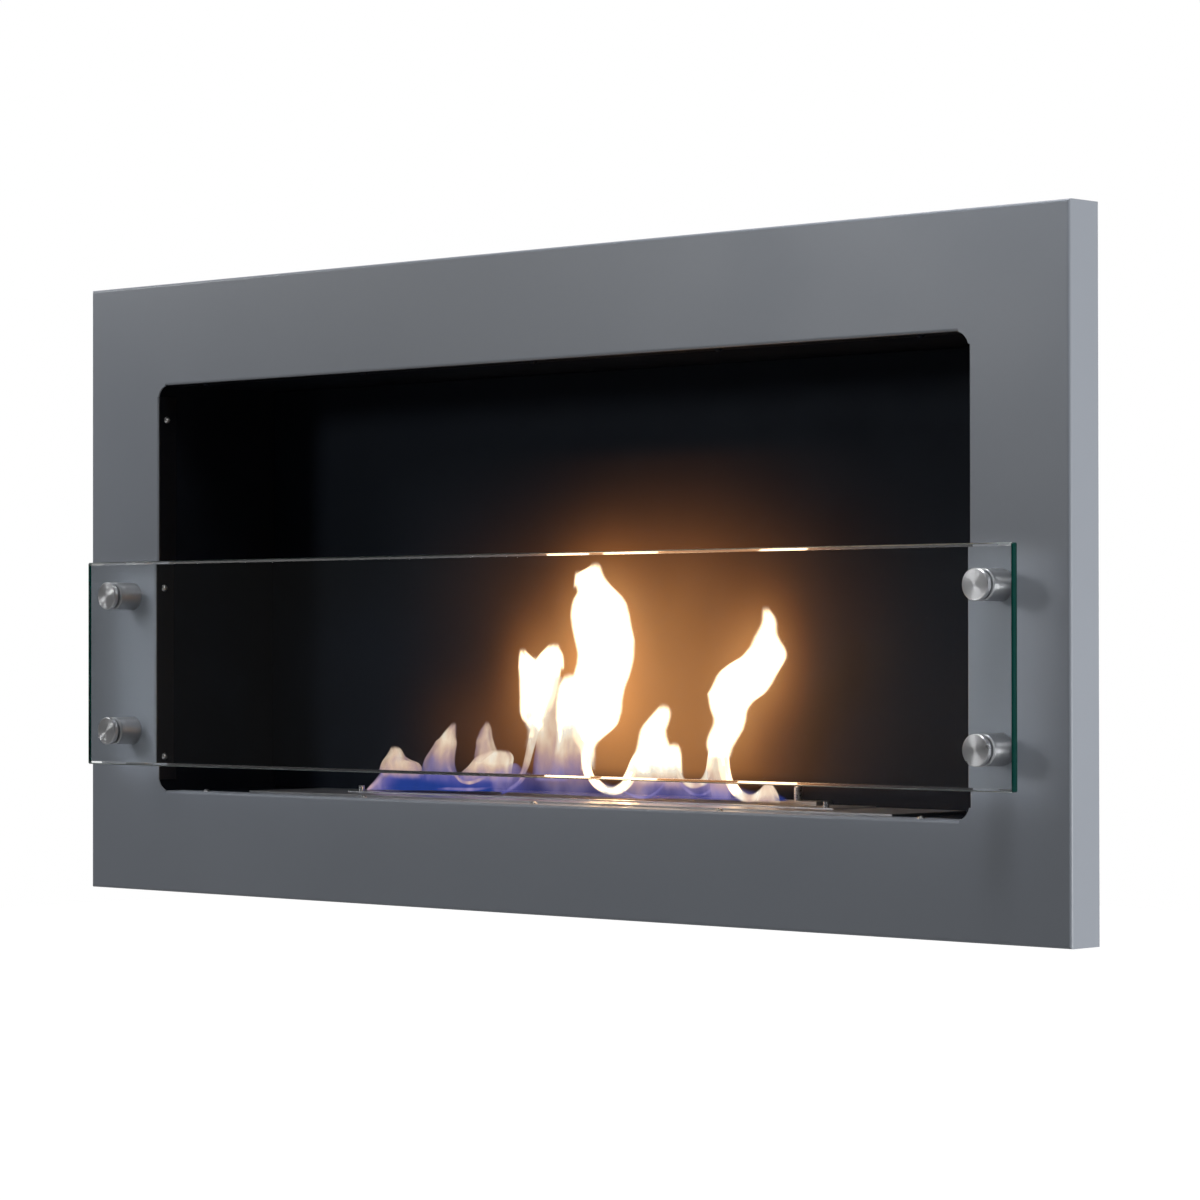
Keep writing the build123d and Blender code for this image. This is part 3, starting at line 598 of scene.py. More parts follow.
def lick_of_fire(name, path, plane_y):
    """A thin lick of flame along a line of (across, height, half width, heat, thickness)."""
    select_nothing()
    bpy.ops.curve.primitive_nurbs_path_add()
    lick = bpy.context.object
    lick.data.splines.remove(lick.data.splines[0])
    spline = lick.data.splines.new("NURBS")
    spline.points.add(len(path) - 1)
    for point, (across, height, half, *_) in zip(spline.points, path):
        point.co = (across * MM, plane_y * MM, height * MM, 1.0)
        point.radius = half / LICK_BEVEL
    spline.order_u = 3
    spline.use_endpoint_u = True
    spline.resolution_u = 6
    lick.data.dimensions = "3D"
    lick.data.bevel_depth = LICK_BEVEL * MM
    lick.data.bevel_resolution = 4
    lick.data.use_fill_caps = True
    bpy.ops.object.convert(target="MESH")
    lick = bpy.context.object
    bpy.ops.object.shade_smooth()
    places = [Vector((across, 0.0, height)) for across, height, *_ in path]
    gases = [(count, *entry[3:]) for count, entry in enumerate(path)]

    def gas(point):
        here = Vector((point.co.x / MM, 0.0, point.co.z / MM))
        nearest = []
        for count, (start, end) in enumerate(zip(places, places[1:])):
            share = min(max((here - start).dot(end - start) / (end - start).length_squared, 0.0), 1.0)
            nearest.append(((here - start.lerp(end, share)).length, count + share))
        sideways = math.hypot(point.normal.x, point.normal.z)
        return (1.5 * (1 - sideways), *between(gases, min(nearest)[1]))

    record_gas(lick, gas)
    start_shaping((0.0, plane_y * MM, 0.0), (1.0, 0.5, 1.0))
    bpy.ops.object.mode_set(mode="OBJECT")
    return settle(lick, name)


# The outlines of the tongues, the licks and the curtain were measured in the photo, in part by a
# script that finds bright pixels. A separate script worked most of these numbers out from them, in
# millimetres.

# Each tongue: share of its depth, sway, width of its soft edge, its gas upwards as (height, heat,
# thickness), and its stations upwards as (height, middle across, half width), all in millimetres.
TONGUES = {
    "small_flame_1": (0.34, 1.0, 5.0, (
        (-165.6, 0.36, 0.45), (-157.8, 0.5, 0.62), (-147.5, 0.6, 0.62), (-138.8, 0.62, 0.5)), (
        (-167.3, -229.4, 26.2), (-160.4, -227.2, 26.5), (-156.0, -225.6, 24.9), (-152.6, -225.6, 21.8),
        (-150.5, -230.3, 15.1), (-147.5, -232.8, 10.5), (-144.1, -233.1, 8.0), (-141.0, -233.1, 5.7),
        (-138.9, -233.1, 2.8))),
    "small_flame_2": (0.34, 1.2, 5.5, (
        (-167.8, 0.16, 0.35), (-158.4, 0.28, 0.42), (-146.4, 0.44, 0.55), (-132.7, 0.6, 0.7),
        (-118.1, 0.64, 0.7)), (
        (-169.6, -179.2, 26.5), (-162.0, -180.4, 21.6), (-156.8, -179.8, 19.1), (-151.6, -178.6, 17.4),
        (-146.5, -177.1, 16.0), (-141.3, -174.9, 14.0), (-136.1, -172.9, 12.5), (-133.5, -171.5, 11.5),
        (-130.9, -168.3, 8.9), (-128.3, -166.3, 7.3), (-123.2, -163.9, 5.0), (-119.7, -163.0, 3.1),
        (-117.6, -162.4, 1.4))),
    "small_flame_3": (0.34, 1.2, 5.0, (
        (-150.5, 0.58, 0.3), (-140.3, 0.62, 0.6), (-127.6, 0.68, 0.72), (-115.8, 0.66, 0.6)), (
        (-152.2, -119.8, 15.6), (-142.9, -121.0, 12.8), (-137.8, -120.7, 10.8), (-132.7, -121.0, 9.4),
        (-127.6, -120.7, 7.5), (-122.5, -120.7, 5.8), (-118.3, -120.4, 2.8), (-115.8, -120.4, 1.1))),
    "small_flame_4": (0.3, 0.6, 5.0, (
        (-166.5, 0.34, 0.4), (-158.9, 0.5, 0.6), (-151.3, 0.74, 0.85), (-142.0, 0.76, 0.8)), (
        (-168.4, -127.6, 31.6), (-162.4, -125.2, 31.5), (-157.3, -120.1, 27.6), (-153.8, -116.5, 25.2),
        (-150.4, -114.4, 23.7), (-147.0, -112.9, 22.2), (-144.4, -110.5, 18.5), (-141.8, -107.5, 13.0),
        (-139.8, -104.5, 7.0))),
    "tall_flame_a": (0.26, 1.5, 9.5, (
        (-137.6, 0.5, 0.3), (-129.0, 0.64, 0.5), (-119.2, 0.8, 0.75), (-108.0, 0.94, 0.95), (-98.0, 1, 1),
        (-59.8, 1, 1)), (
        (-137.7, -68.3, 8.4), (-129.3, -64.1, 9.0), (-122.5, -60.9, 10.4), (-117.5, -60.6, 12.3),
        (-112.5, -62.4, 15.1), (-107.5, -63.5, 17.9), (-97.5, -62.3, 19.6), (-87.4, -60.0, 21.3),
        (-77.3, -58.2, 22.4), (-69.8, -57.0, 23.5), (-64.8, -56.7, 23.2), (-61.9, -56.4, 21.8))),
    "tall_flame_a_left_tip": (0.4, 0.5, 8.0, (
        (-70.7, 1, 1), (-53.9, 1, 0.8)), (
        (-72.4, -67.9, 12.1), (-65.7, -70.8, 9.5), (-61.5, -73.4, 6.5), (-57.3, -75.9, 3.4),
        (-54.3, -77.0, 1.6))),
    "tall_flame_a_right_tip": (0.34, 0.5, 8.0, (
        (-70.6, 1, 1), (-48.9, 1, 0.85)), (
        (-72.3, -50.6, 17.0), (-63.9, -48.2, 14.9), (-58.9, -45.7, 11.8), (-54.7, -43.9, 7.9),
        (-51.4, -42.8, 5.2), (-49.3, -42.2, 2.5))),
    "veil_under_a": (0.22, 0.8, 4.0, (
        (-163.1, 0.26, 0.42), (-147.3, 0.36, 0.45), (-130.6, 0.56, 0.5), (-109.8, 0.66, 0.5),
        (-78.9, 0.66, 0.4)), (
        (-165.7, -47.9, 19.1), (-151.6, -48.4, 17.5), (-139.0, -46.1, 16.3), (-126.5, -44.3, 14.6),
        (-113.9, -42.6, 11.8), (-101.4, -40.8, 9.0), (-88.9, -38.5, 6.7), (-77.2, -35.8, 5.3))),
    "tall_flame_b_left": (0.3, 1.0, 9.5, (
        (-165.0, 0.18, 0.3), (-156.0, 0.28, 0.45), (-147.0, 0.44, 0.55), (-137.0, 0.66, 0.7),
        (-126.0, 0.86, 0.9), (-112.0, 1, 1), (-74.7, 1, 1)), (
        (-165.2, -26.4, 20.4), (-156.9, -24.7, 19.8), (-150.2, -22.1, 19.0), (-144.4, -20.1, 18.7),
        (-138.5, -18.9, 18.7), (-131.9, -18.3, 19.2), (-121.9, -18.3, 19.2), (-112.0, -18.6, 19.5),
        (-102.0, -17.7, 18.7), (-92.1, -17.1, 18.1), (-85.4, -16.3, 17.3), (-80.4, -15.4, 15.4),
        (-76.7, -15.9, 12.6), (-75.1, -17.7, 8.8))),
    "tall_flame_b": (0.26, 2.0, 9.5, (
        (-155.0, 0.9, 0.7), (-142.0, 0.96, 1), (-130.0, 1, 1), (6.4, 1, 1), (15.5, 1, 0.9)), (
        (-154.8, -4.9, 6.4), (-144.9, -4.9, 6.9), (-136.6, -4.9, 9.1), (-131.7, -4.3, 13.0),
        (-126.7, -2.0, 17.4), (-121.7, -0.0, 21.6), (-116.7, 2.3, 24.9), (-106.7, 4.6, 28.4),
        (-96.8, 6.0, 29.2), (-86.9, 8.6, 30.1), (-77.0, 12.0, 31.2), (-67.1, 14.6, 30.9),
        (-57.2, 15.2, 31.5), (-47.3, 14.6, 33.2), (-37.4, 13.5, 33.2), (-27.5, 11.8, 32.7),
        (-17.6, 9.6, 30.4), (-12.6, 7.0, 27.2), (-7.7, 6.2, 21.8), (-2.7, 3.3, 18.5), (2.3, 1.1, 16.3),
        (7.3, -0.1, 14.1), (10.6, 1.1, 10.2), (13.8, 3.1, 5.5), (16.3, 3.9, 2.5))),
    "tall_flame_b_tip": (0.4, 0.6, 8.0, (
        (-2.6, 1, 1), (9.9, 1, 0.8)), (
        (-4.2, -7.5, 8.8), (2.4, -8.9, 6.9), (6.6, -10.1, 4.8), (9.5, -10.7, 2.7))),
    "middle_flame": (0.3, 1.2, 9.5, (
        (-167.0, 0.42, 0.4), (-161.0, 0.64, 0.6), (-155.0, 0.86, 0.85), (-148.0, 0.96, 1), (-142.0, 1, 1),
        (-106.0, 1, 1), (-100.3, 1, 0.9)), (
        (-168.0, 64.6, 26.3), (-159.8, 66.3, 24.5), (-154.9, 66.3, 22.2), (-150.0, 67.1, 20.8),
        (-145.1, 68.0, 19.4), (-140.2, 68.8, 18.1), (-135.3, 69.4, 17.0), (-130.4, 69.7, 15.7),
        (-125.6, 70.2, 14.0), (-120.6, 71.3, 13.0), (-115.7, 74.1, 12.4), (-110.8, 76.9, 10.8),
        (-105.9, 79.9, 8.4), (-102.6, 81.9, 5.9), (-99.8, 83.5, 2.7))),
    "middle_flame_side": (0.36, 0.5, 8.0, (
        (-167.0, 0.46, 0.45), (-161.0, 0.66, 0.65), (-154.0, 0.9, 0.9), (-146.0, 1, 1),
        (-130.1, 1, 0.9)), (
        (-169.0, 90.6, 12.2), (-159.3, 90.8, 10.3), (-149.6, 90.6, 9.5), (-139.8, 90.9, 9.3),
        (-135.0, 90.9, 8.2), (-132.1, 92.0, 5.0), (-130.5, 92.5, 2.4))),
    "veil_under_d": (0.24, 0.6, 3.5, (
        (-174.2, 0.22, 0.45), (-164.5, 0.36, 0.55), (-156.5, 0.56, 0.7), (-146.9, 0.8, 0.8),
        (-138.9, 0.85, 0.7)), (
        (-175.7, 143.2, 9.7), (-166.1, 142.1, 10.8), (-156.5, 142.2, 10.8), (-148.5, 141.9, 11.1),
        (-140.5, 142.2, 10.8))),
    "tall_flame_d": (0.28, 2.0, 9.5, (
        (-142.0, 0.96, 0.8), (-132.0, 1, 1), (-27.5, 1, 1), (-22.0, 1, 0.85)), (
        (-146.5, 141.6, 5.5), (-140.5, 141.4, 11.0), (-134.1, 142.7, 12.8), (-129.2, 145.4, 14.4),
        (-124.4, 147.9, 15.7), (-119.5, 149.5, 16.3), (-114.7, 150.8, 16.0), (-109.9, 152.4, 16.5),
        (-105.1, 153.2, 17.9), (-100.3, 154.6, 20.3), (-95.5, 155.9, 23.7), (-90.6, 158.6, 29.4),
        (-85.8, 162.6, 30.2), (-81.0, 167.4, 30.7), (-76.2, 171.7, 30.7), (-71.4, 176.5, 30.1),
        (-66.6, 181.8, 27.8), (-61.8, 187.3, 23.6), (-57.0, 190.7, 20.1), (-52.3, 193.1, 16.7),
        (-47.5, 193.7, 13.5), (-42.7, 193.7, 10.3), (-38.0, 193.7, 8.2), (-33.2, 193.7, 7.1),
        (-28.5, 193.2, 6.1), (-24.5, 193.2, 4.0), (-21.7, 193.2, 1.9))),
    "end_flame": (0.4, 0.5, 4.0, (
        (-176.0, 0.62, 0.6), (-170.5, 0.74, 0.85), (-163.3, 0.78, 0.9), (-160.2, 0.74, 0.7)), (
        (-176.8, 191.5, 11.8), (-169.7, 191.8, 9.5), (-166.5, 192.3, 7.4), (-163.3, 192.6, 5.1),
        (-160.6, 192.9, 2.3))),
}

# The painted glow's middles, spreads and amounts: (across, height, spread across, spread upwards, amount),
# in millimetres. A separate script fitted them to the glow in the photo, and they were then adjusted.
# After them, the thin sheet that carries the painted glow, its rounded corner and the strength of its glow.
HAZE = ((-76.0, -78.0, 25.0, 30.0, 0.32), (-3.0, -62.0, 30.0, 42.0, 0.92),
        (70.0, -116.0, 76.0, 78.0, 0.40), (175.0, -63.0, 23.0, 29.0, 0.40),
        (144.0, -104.0, 20.0, 32.0, 0.30), (-52.0, -127.0, 75.0, 32.0, 0.18),
        (50.0, -25.0, 100.0, 44.0, 0.12))
HAZE_MIDDLE = Vector((48, -53.3, -27)) * MM
HAZE_HALF = Vector((340, 0.7, 145)) * MM
HAZE_CORNER = 45 * MM
HAZE_GLOW = 4.0

# Each lick's line: (across, height, half width, heat, thickness).
LICKS = {
    "lick_left_end": (
        (-271.0, -177.9, 1.6, 0.36, 0.5), (-265.3, -174.7, 2.6, 0.42, 0.8),
        (-259.0, -170.6, 3.2, 0.4, 0.75), (-253.9, -166.2, 3.6, 0.42, 0.6),
        (-248.8, -160.8, 3.6, 0.46, 0.4)),
    "lick_blue_foot": (
        (-182.9, -174.9, 1.2, 0.1, 0.3), (-171.9, -174.2, 1.8, 0.2, 0.6),
        (-158.5, -174.3, 2.0, 0.24, 0.7), (-143.9, -174.3, 2.0, 0.24, 0.7),
        (-129.5, -173.6, 1.8, 0.2, 0.6), (-117.5, -171.6, 1.2, 0.16, 0.3)),
    "lick_small": (
        (-168.2, -154.9, 1.8, 0.5, 0.3), (-162.1, -162.4, 2.2, 0.52, 0.6),
        (-154.8, -167.4, 2.4, 0.48, 0.7), (-146.3, -168.9, 2.4, 0.46, 0.7),
        (-135.5, -167.3, 2.4, 0.46, 0.6), (-124.6, -163.3, 2.0, 0.48, 0.3)),
    "lick_under_a": (
        (-61.5, -112.0, 5.5, 1, 0.9), (-63.5, -119.0, 5.5, 0.92, 0.9), (-66.5, -127.6, 4.9, 0.8, 0.8),
        (-70.0, -137.8, 4.5, 0.74, 0.8), (-72.4, -145.3, 4.1, 0.66, 0.8), (-75.3, -153.0, 3.7, 0.6, 0.8),
        (-79.5, -160.6, 3.1, 0.56, 0.8), (-86.5, -167.5, 2.7, 0.34, 0.7), (-96.0, -172.8, 2.4, 0.26, 0.7),
        (-106.7, -176.8, 2.0, 0.16, 0.5)),
    "lick_under_b": (
        (-4.2, -128.0, 5.8, 1, 1), (-4.8, -139.9, 5.8, 1, 1), (-4.3, -149.8, 5.4, 1, 1),
        (-1.8, -158.9, 5.2, 1, 1), (4.5, -165.8, 5.0, 1, 1), (13.6, -170.5, 4.8, 0.95, 1),
        (23.7, -171.9, 4.8, 0.9, 1), (33.3, -169.2, 5.2, 0.95, 1), (41.2, -163.3, 5.7, 1, 1),
        (46.8, -155.4, 5.7, 1, 1), (50.7, -145.5, 4.8, 1, 1), (58.5, -138.0, 4.8, 1, 1)),
    "lick_between": (
        (97.7, -151.0, 2.8, 0.9, 0.8), (99.3, -156.7, 3.4, 0.84, 0.9), (104.2, -162.2, 3.6, 0.76, 0.9),
        (111.3, -164.9, 3.6, 0.72, 0.9), (119.5, -164.3, 3.6, 0.72, 0.9), (126.5, -160.9, 3.6, 0.8, 0.95),
        (130.9, -155.2, 3.7, 0.9, 1), (133.6, -147.9, 3.9, 1, 1), (135.2, -139.0, 3.9, 1, 1),
        (138.5, -126.0, 4.4, 1, 1)),
    "lick_under_d": (
        (145.5, -122.0, 7.4, 1, 1), (144.9, -134.0, 7.0, 1, 1), (146.5, -142.8, 6.7, 1, 1),
        (147.7, -151.6, 6.3, 1, 1), (150.2, -158.7, 5.8, 1, 1), (154.5, -165.4, 5.4, 0.9, 1),
        (161.4, -171.3, 5.0, 0.8, 0.95), (170.9, -174.2, 4.6, 0.66, 0.85),
        (180.5, -172.8, 4.6, 0.66, 0.85), (187.3, -167.8, 4.6, 0.74, 0.85),
        (191.6, -163.4, 3.2, 0.76, 0.8)),
    "lick_arc_1": (
        (93.3, -157.6, 1.5, 0.5, 0.3), (97.7, -163.2, 1.7, 0.42, 0.6), (104.2, -168.7, 1.8, 0.3, 0.7),
        (112.9, -172.5, 1.8, 0.26, 0.7), (122.7, -172.3, 1.8, 0.26, 0.7), (131.4, -168.0, 1.8, 0.3, 0.7),
        (136.8, -162.3, 1.7, 0.4, 0.5), (140.0, -156.6, 1.5, 0.5, 0.3)),
    "lick_arc_2": (
        (34.4, -171.2, 1.5, 0.4, 0.4), (46.8, -175.4, 1.7, 0.26, 0.6), (60.2, -176.3, 1.7, 0.22, 0.7),
        (71.3, -172.3, 1.7, 0.26, 0.7), (80.1, -165.6, 1.7, 0.36, 0.6), (85.6, -158.6, 1.5, 0.5, 0.3)),
}

# The hottest gas, hidden inside of the brightest flames: the same, and what lights the tabs.
HEARTS = {
    "flame_b_heart": (
        (-4.6, -146.0, 1.2, 1, 1), (-4.2, -134.0, 1.8, 1, 1), (0.0, -122.0, 3.4, 1, 1),
        (4.0, -106.0, 4.0, 1, 1), (8.0, -88.0, 4.0, 1, 1)),
    "flame_b_foot_heart": (
        (-0.2, -161.0, 0.9, 1, 1), (4.5, -165.8, 1.1, 1, 1), (13.6, -170.5, 1.1, 1, 1),
        (23.7, -171.9, 1.1, 1, 1), (33.3, -169.2, 1.1, 1, 1), (41.2, -163.3, 1.1, 1, 1),
        (46.8, -155.4, 0.9, 1, 1)),
    "flame_d_heart": (
        (146.8, -148.0, 1.2, 1, 1), (144.5, -136.0, 1.8, 1, 1), (147.5, -122.0, 3.2, 1, 1),
        (152.0, -106.0, 3.6, 1, 1), (160.0, -90.0, 4.0, 1, 1)),
}

# The curtain of gas along the mouth: (across, middle height, half height, heat, thickness).
CURTAIN = (
    (-272.9, -176.6, 1.3, 0.4, 0.3), (-265.3, -174.7, 3.9, 0.38, 0.6), (-256.4, -171.4, 7.0, 0.3, 0.72),
    (-245.1, -169.9, 8.2, 0.12, 0.8), (-230.0, -169.3, 8.9, 0, 0.86), (-205.1, -168.7, 8.8, 0.01, 0.86),
    (-180.5, -168.4, 9.0, 0.04, 0.86), (-162.1, -168.6, 8.8, 0.08, 0.82),
    (-137.9, -168.0, 8.7, 0.08, 0.84), (-119.5, -167.0, 9.6, 0.08, 0.8), (-115.5, -166.6, 10.0, 0.3, 0.6),
    (-102.0, -164.5, 12.7, 0.28, 0.55), (-88.9, -162.1, 14.7, 0.24, 0.42),
    (-79.5, -165.8, 11.1, 0.2, 0.26), (-60.7, -168.1, 8.8, 0.2, 0.22), (-37.4, -167.6, 9.6, 0.3, 0.26),
    (-14.4, -167.9, 9.5, 0.3, 0.26), (3.9, -169.5, 8.3, 0.24, 0.2), (22.0, -171.5, 6.6, 0.3, 0.24),
    (44.5, -168.5, 9.8, 0.36, 0.36), (64.6, -167.2, 10.6, 0.28, 0.5), (80.1, -166.8, 10.6, 0.26, 0.42),
    (102.0, -167.5, 9.3, 0.26, 0.4), (123.8, -167.4, 9.7, 0.24, 0.5), (143.2, -166.5, 10.0, 0.28, 0.4),
    (162.4, -170.4, 6.4, 0.2, 0.2), (183.6, -171.9, 4.4, 0.2, 0.24), (198.4, -171.5, 4.4, 0.06, 0.6),
    (205.7, -173.3, 2.4, 0.02, 0.5), (210.9, -174.4, 1.2, 0.02, 0.3))


# Settings

def colour_setting(name, description, default):
    return FloatVectorProperty(name=name, description=description, default=default, size=3,
                               subtype="COLOR", min=0.0, max=1.0)


def share_setting(name, description, default):
    return FloatProperty(name=name, description=description, default=default, min=0.0, max=1.0,
                         subtype="FACTOR")


def angle_setting(name, description, default):
    return FloatProperty(name=name, description=description, default=default, subtype="ANGLE")


class FireplacePaint(PropertyGroup):
    frame_colour: colour_setting("Frame colour", "Powder coat of the front frame", (0.207, 0.226, 0.258))
    lining_colour: colour_setting("Lining colour", "Heat paint of the fire chamber", (0.0035, 0.0045, 0.007))
    frame_roughness: share_setting("Frame roughness", "How satin the powder coat is", 0.42)
    lining_roughness: share_setting("Lining roughness", "How matt the heat paint is", 0.55)


class FireplaceMetal(PropertyGroup):
    steel_colour: colour_setting("Steel colour", "Bare stainless sheet and bar", (0.56, 0.565, 0.58))
    zinc_colour: colour_setting("Zinc colour", "Plated fasteners", (0.60, 0.60, 0.60))
    heat_colour: colour_setting("Heat tint", "Straw colour of the steel by the fire", (0.50, 0.36, 0.20))
    steel_roughness: share_setting("Steel roughness", "Roughness of the brushed sheet", 0.30)
    turning_lean: FloatProperty(name="Turning marks", description="How far the lathe's rings lean the light",
                                default=3.4, min=0.0, max=8.0)


class FireplaceGlass(PropertyGroup):
    face_colour: colour_setting("Glass colour", "Tint looking through the pane", (0.965, 0.98, 0.98))
    rim_colour: colour_setting("Rim colour", "Tint of the polished long edges", (0.80, 0.90, 0.86))
    lamp_colour: FloatVectorProperty(name="Lamp light",
                                     description="Light that the pane lets through from the lamps",
                                     default=(1.02, 1.03, 1.06), size=3, min=0.0, max=2.0)
    edge_colour: colour_setting("End colour", "Deep colour of the polished ends", (0.0, 0.030, 0.024))


class FireplaceFire(PropertyGroup):
    plane_y: FloatProperty(name="Flame plane", description="Place of the flames' middle, out from the wall",
                           default=-70.0 * MM, unit="LENGTH")
    strength: FloatProperty(name="Strength", description="Glow of the hottest gas",
                            default=4.0, min=0.1, soft_max=20.0)
    hot_colour: colour_setting("Hot colour", "Middle of the tall flames", (1.0, 0.66, 0.38))
    heart_colour: colour_setting("Heart colour", "The bright hearts hidden in the flames", (1.0, 0.58, 0.28))
    heart_strength: FloatProperty(name="Heart glow", description="How brightly the hearts light the plates",
                                  default=220.0, min=0.0, soft_max=400.0)
    white_colour: colour_setting("White colour", "Bright skin of the tall flames", (1.0, 0.93, 0.80))
    pale_colour: colour_setting("Pale colour", "Pale cream of the bright small flames", (1.0, 0.82, 0.62))
    cream_colour: colour_setting("Cream colour", "Cream of the small flames' tips", (0.82, 0.58, 0.44))
    rose_colour: colour_setting("Rose colour", "Pink of the small flames' middles", (0.56, 0.38, 0.41))
    lilac_colour: colour_setting("Lilac colour", "Lilac low in the flames", (0.29, 0.24, 0.48))
    violet_colour: colour_setting("Violet colour", "Violet between lilac and blue", (0.09, 0.09, 0.34))
    blue_colour: colour_setting("Blue colour", "The flames' feet", (0.018, 0.045, 0.24))
    # The painted glow round the flames, in place of the light that they throw: its colours far from and
    # close to the flames, and its amount.
    painted_glow_colour: colour_setting("Haze colour", "Warm air far from the flames", (1.0, 0.33, 0.07))
    painted_glow_heart: colour_setting("Haze heart", "Warm air close to the flames", (1.0, 0.40, 0.115))
    painted_glow_amount: share_setting("Haze", "How thick the warm haze is", 0.125)


class FireplaceStudio(PropertyGroup):
    camera_place: FloatVectorProperty(name="Camera place", description="Where the camera stands",
                                      default=(2.29174, -2.48030, -0.04836), subtype="TRANSLATION")
    camera_yaw: angle_setting("Camera yaw", "Turn of the view towards the left", 0.7582873969)
    camera_pitch: angle_setting("Camera pitch", "Upward tilt of the view", 0.0102608719)
    camera_roll: angle_setting("Camera roll", "Roll of the view", -0.0011966882)
    camera_lens: FloatProperty(name="Lens", description="Focal length on a 36 mm sensor", default=120.692)
    floor_drop: FloatProperty(name="Floor drop", description="Height of the frame's foot above the floor",
                              default=0.55, unit="LENGTH")
    front_light: share_setting("Front light", "Brightness of the room before the frame", 0.03)


class FireplaceSettings(PropertyGroup):
    paint: PointerProperty(name="Paint", description="Painted sheet", type=FireplacePaint)
    metal: PointerProperty(name="Metal", description="Bare metal", type=FireplaceMetal)
    glass: PointerProperty(name="Glass", description="Guard glass", type=FireplaceGlass)
    fire: PointerProperty(name="Fire", description="Flames", type=FireplaceFire)
    studio: PointerProperty(name="Studio", description="Camera and light", type=FireplaceStudio)


# Operators

def paint_nodes(material, *names):
    """Gives CAD nodes a finish through their material slots."""
    for name in names:
        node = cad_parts[name]
        if not node.material_slots:
            node.data.materials.append(material)
        for slot in node.material_slots:
            slot.material = material


def coat(piece, material):
    """Gives a modelled piece its one material."""
    piece.data.materials.clear()
    piece.data.materials.append(material)


class FIREPLACE_OT_stage(Operator):
    """Sets up the camera, the lamps, the floor and the pale surroundings"""
    bl_idname = "fireplace.stage"
    bl_label = "Studio"

    def execute(self, context):
        studio = context.scene.fireplace.studio
        self.camera(context, studio)
        for name, (place, target, size, watts) in LAMPS.items():
            self.lamp(name, Vector(place), Vector(target), size, watts)
        self.floor(studio)
        self.world(context, studio)
        context.scene.view_settings.view_transform = "Standard"
        return {"FINISHED"}

    def camera(self, context, studio):
        yaw, pitch, roll = studio.camera_yaw, studio.camera_pitch, studio.camera_roll
        ahead = Vector((-math.sin(yaw) * math.cos(pitch), math.cos(yaw) * math.cos(pitch), math.sin(pitch)))
        level = Vector((math.cos(yaw), math.sin(yaw), 0.0))
        upright = level.cross(ahead)
        right = level * math.cos(roll) + upright * math.sin(roll)
        up = upright * math.cos(roll) - level * math.sin(roll)
        bpy.ops.object.camera_add()
        camera = context.object
        camera.name = "photo_camera"
        turn = Matrix((right, up, -ahead)).transposed().to_4x4()
        camera.matrix_world = Matrix.Translation(Vector(studio.camera_place)) @ turn
        camera.data.sensor_width = 36.0
        camera.data.lens = studio.camera_lens
        camera.data.clip_start = 0.1
        camera.data.clip_end = 100.0
        context.scene.camera = camera

    def lamp(self, name, place, target, size, watts):
        bpy.ops.object.light_add(type="AREA", location=place)
        lamp = bpy.context.object
        lamp.name = name
        lamp.data.shape = "DISK"
        lamp.data.size = size
        lamp.data.energy = watts
        lamp.rotation_euler = (target - place).to_track_quat("-Z", "Y").to_euler()
        lamp.visible_camera = lamp.visible_transmission = False

    def floor(self, studio):
        select_nothing()
        level = frame_low.z - studio.floor_drop
        bpy.ops.mesh.primitive_plane_add(size=FLOOR_SIZE, location=(0.0, 0.0, level))
        floor = bpy.context.object
        bpy.ops.object.mode_set(mode="EDIT")
        bpy.ops.mesh.select_all(action="SELECT")
        bpy.ops.mesh.subdivide(number_cuts=6)
        bpy.ops.object.mode_set(mode="OBJECT")
        settle(floor, "studio_floor")
        f = finish_named("studio_floor_paper")
        grain = f.noise(f.where(), 220.0, 3.0)
        paper = f.shader(Base_Color=f.mix(grain, (0.31, 0.31, 0.31, 1.0), (0.35, 0.35, 0.35, 1.0)),
                         Roughness=f.spread(grain, 0.8, 0.95), Specular_IOR_Level=0.1,
                         Normal=f.bump(grain, 0.05, 0.0005))
        lit = f.node("ShaderNodeEmission", None, {"Color": WHITE, "Strength": FLOOR_GLOW})
        shown = f.node("ShaderNodeAddShader", None, {0: paper, 1: lit})
        seen = f.node("ShaderNodeLightPath").of("Is Camera Ray")
        coat(floor, f.done(f.node("ShaderNodeMixShader", None, {0: seen, 1: paper, 2: shown})))

    def world(self, context, studio):
        """A pale room that shines from behind and above, and looks white to the camera."""
        world = bpy.data.worlds.new("studio_world")
        context.scene.world = world
        f = Finish(world)
        y, z = f.parts(f.node("ShaderNodeTexCoord").of("Generated"))[1:]
        behind = f.ramp(y, -0.45, 0.30, studio.front_light, 0.85)
        above = f.ramp(z, 0.35, 0.95, 0.0, 0.20)
        path = f.node("ShaderNodeLightPath")
        seen = path.of("Is Camera Ray") + path.of("Is Transmission Ray") * (path.of("Glossy Depth") < 0.5)
        level = (behind + above) * (1 - seen) + seen
        shown = f.node("ShaderNodeBackground", None, {"Color": WHITE, "Strength": level})
        f.node("ShaderNodeOutputWorld", None, {"Surface": shown})


class FIREPLACE_OT_frame(Operator):
    """Paints the front frame"""
    bl_idname = "fireplace.frame"
    bl_label = "Front frame"

    def execute(self, context):
        paint_nodes(powder_coat(context.scene.fireplace.paint), "front_frame")
        return {"FINISHED"}


class FIREPLACE_OT_firebox(Operator):
    """Paints the fire chamber, its casing and the overflow well"""
    bl_idname = "fireplace.firebox"
    bl_label = "Fire chamber"

    def execute(self, context):
        paint_nodes(black_paint(context.scene.fireplace.paint), "left_cheek", "right_cheek", "firebox_roof",
                    "firebox_floor", "casing_back", "fire_back", "overflow_well", "back_rivets",
                    "corner_rivets", "well_rivets", "top_tab_screws")
        return {"FINISHED"}


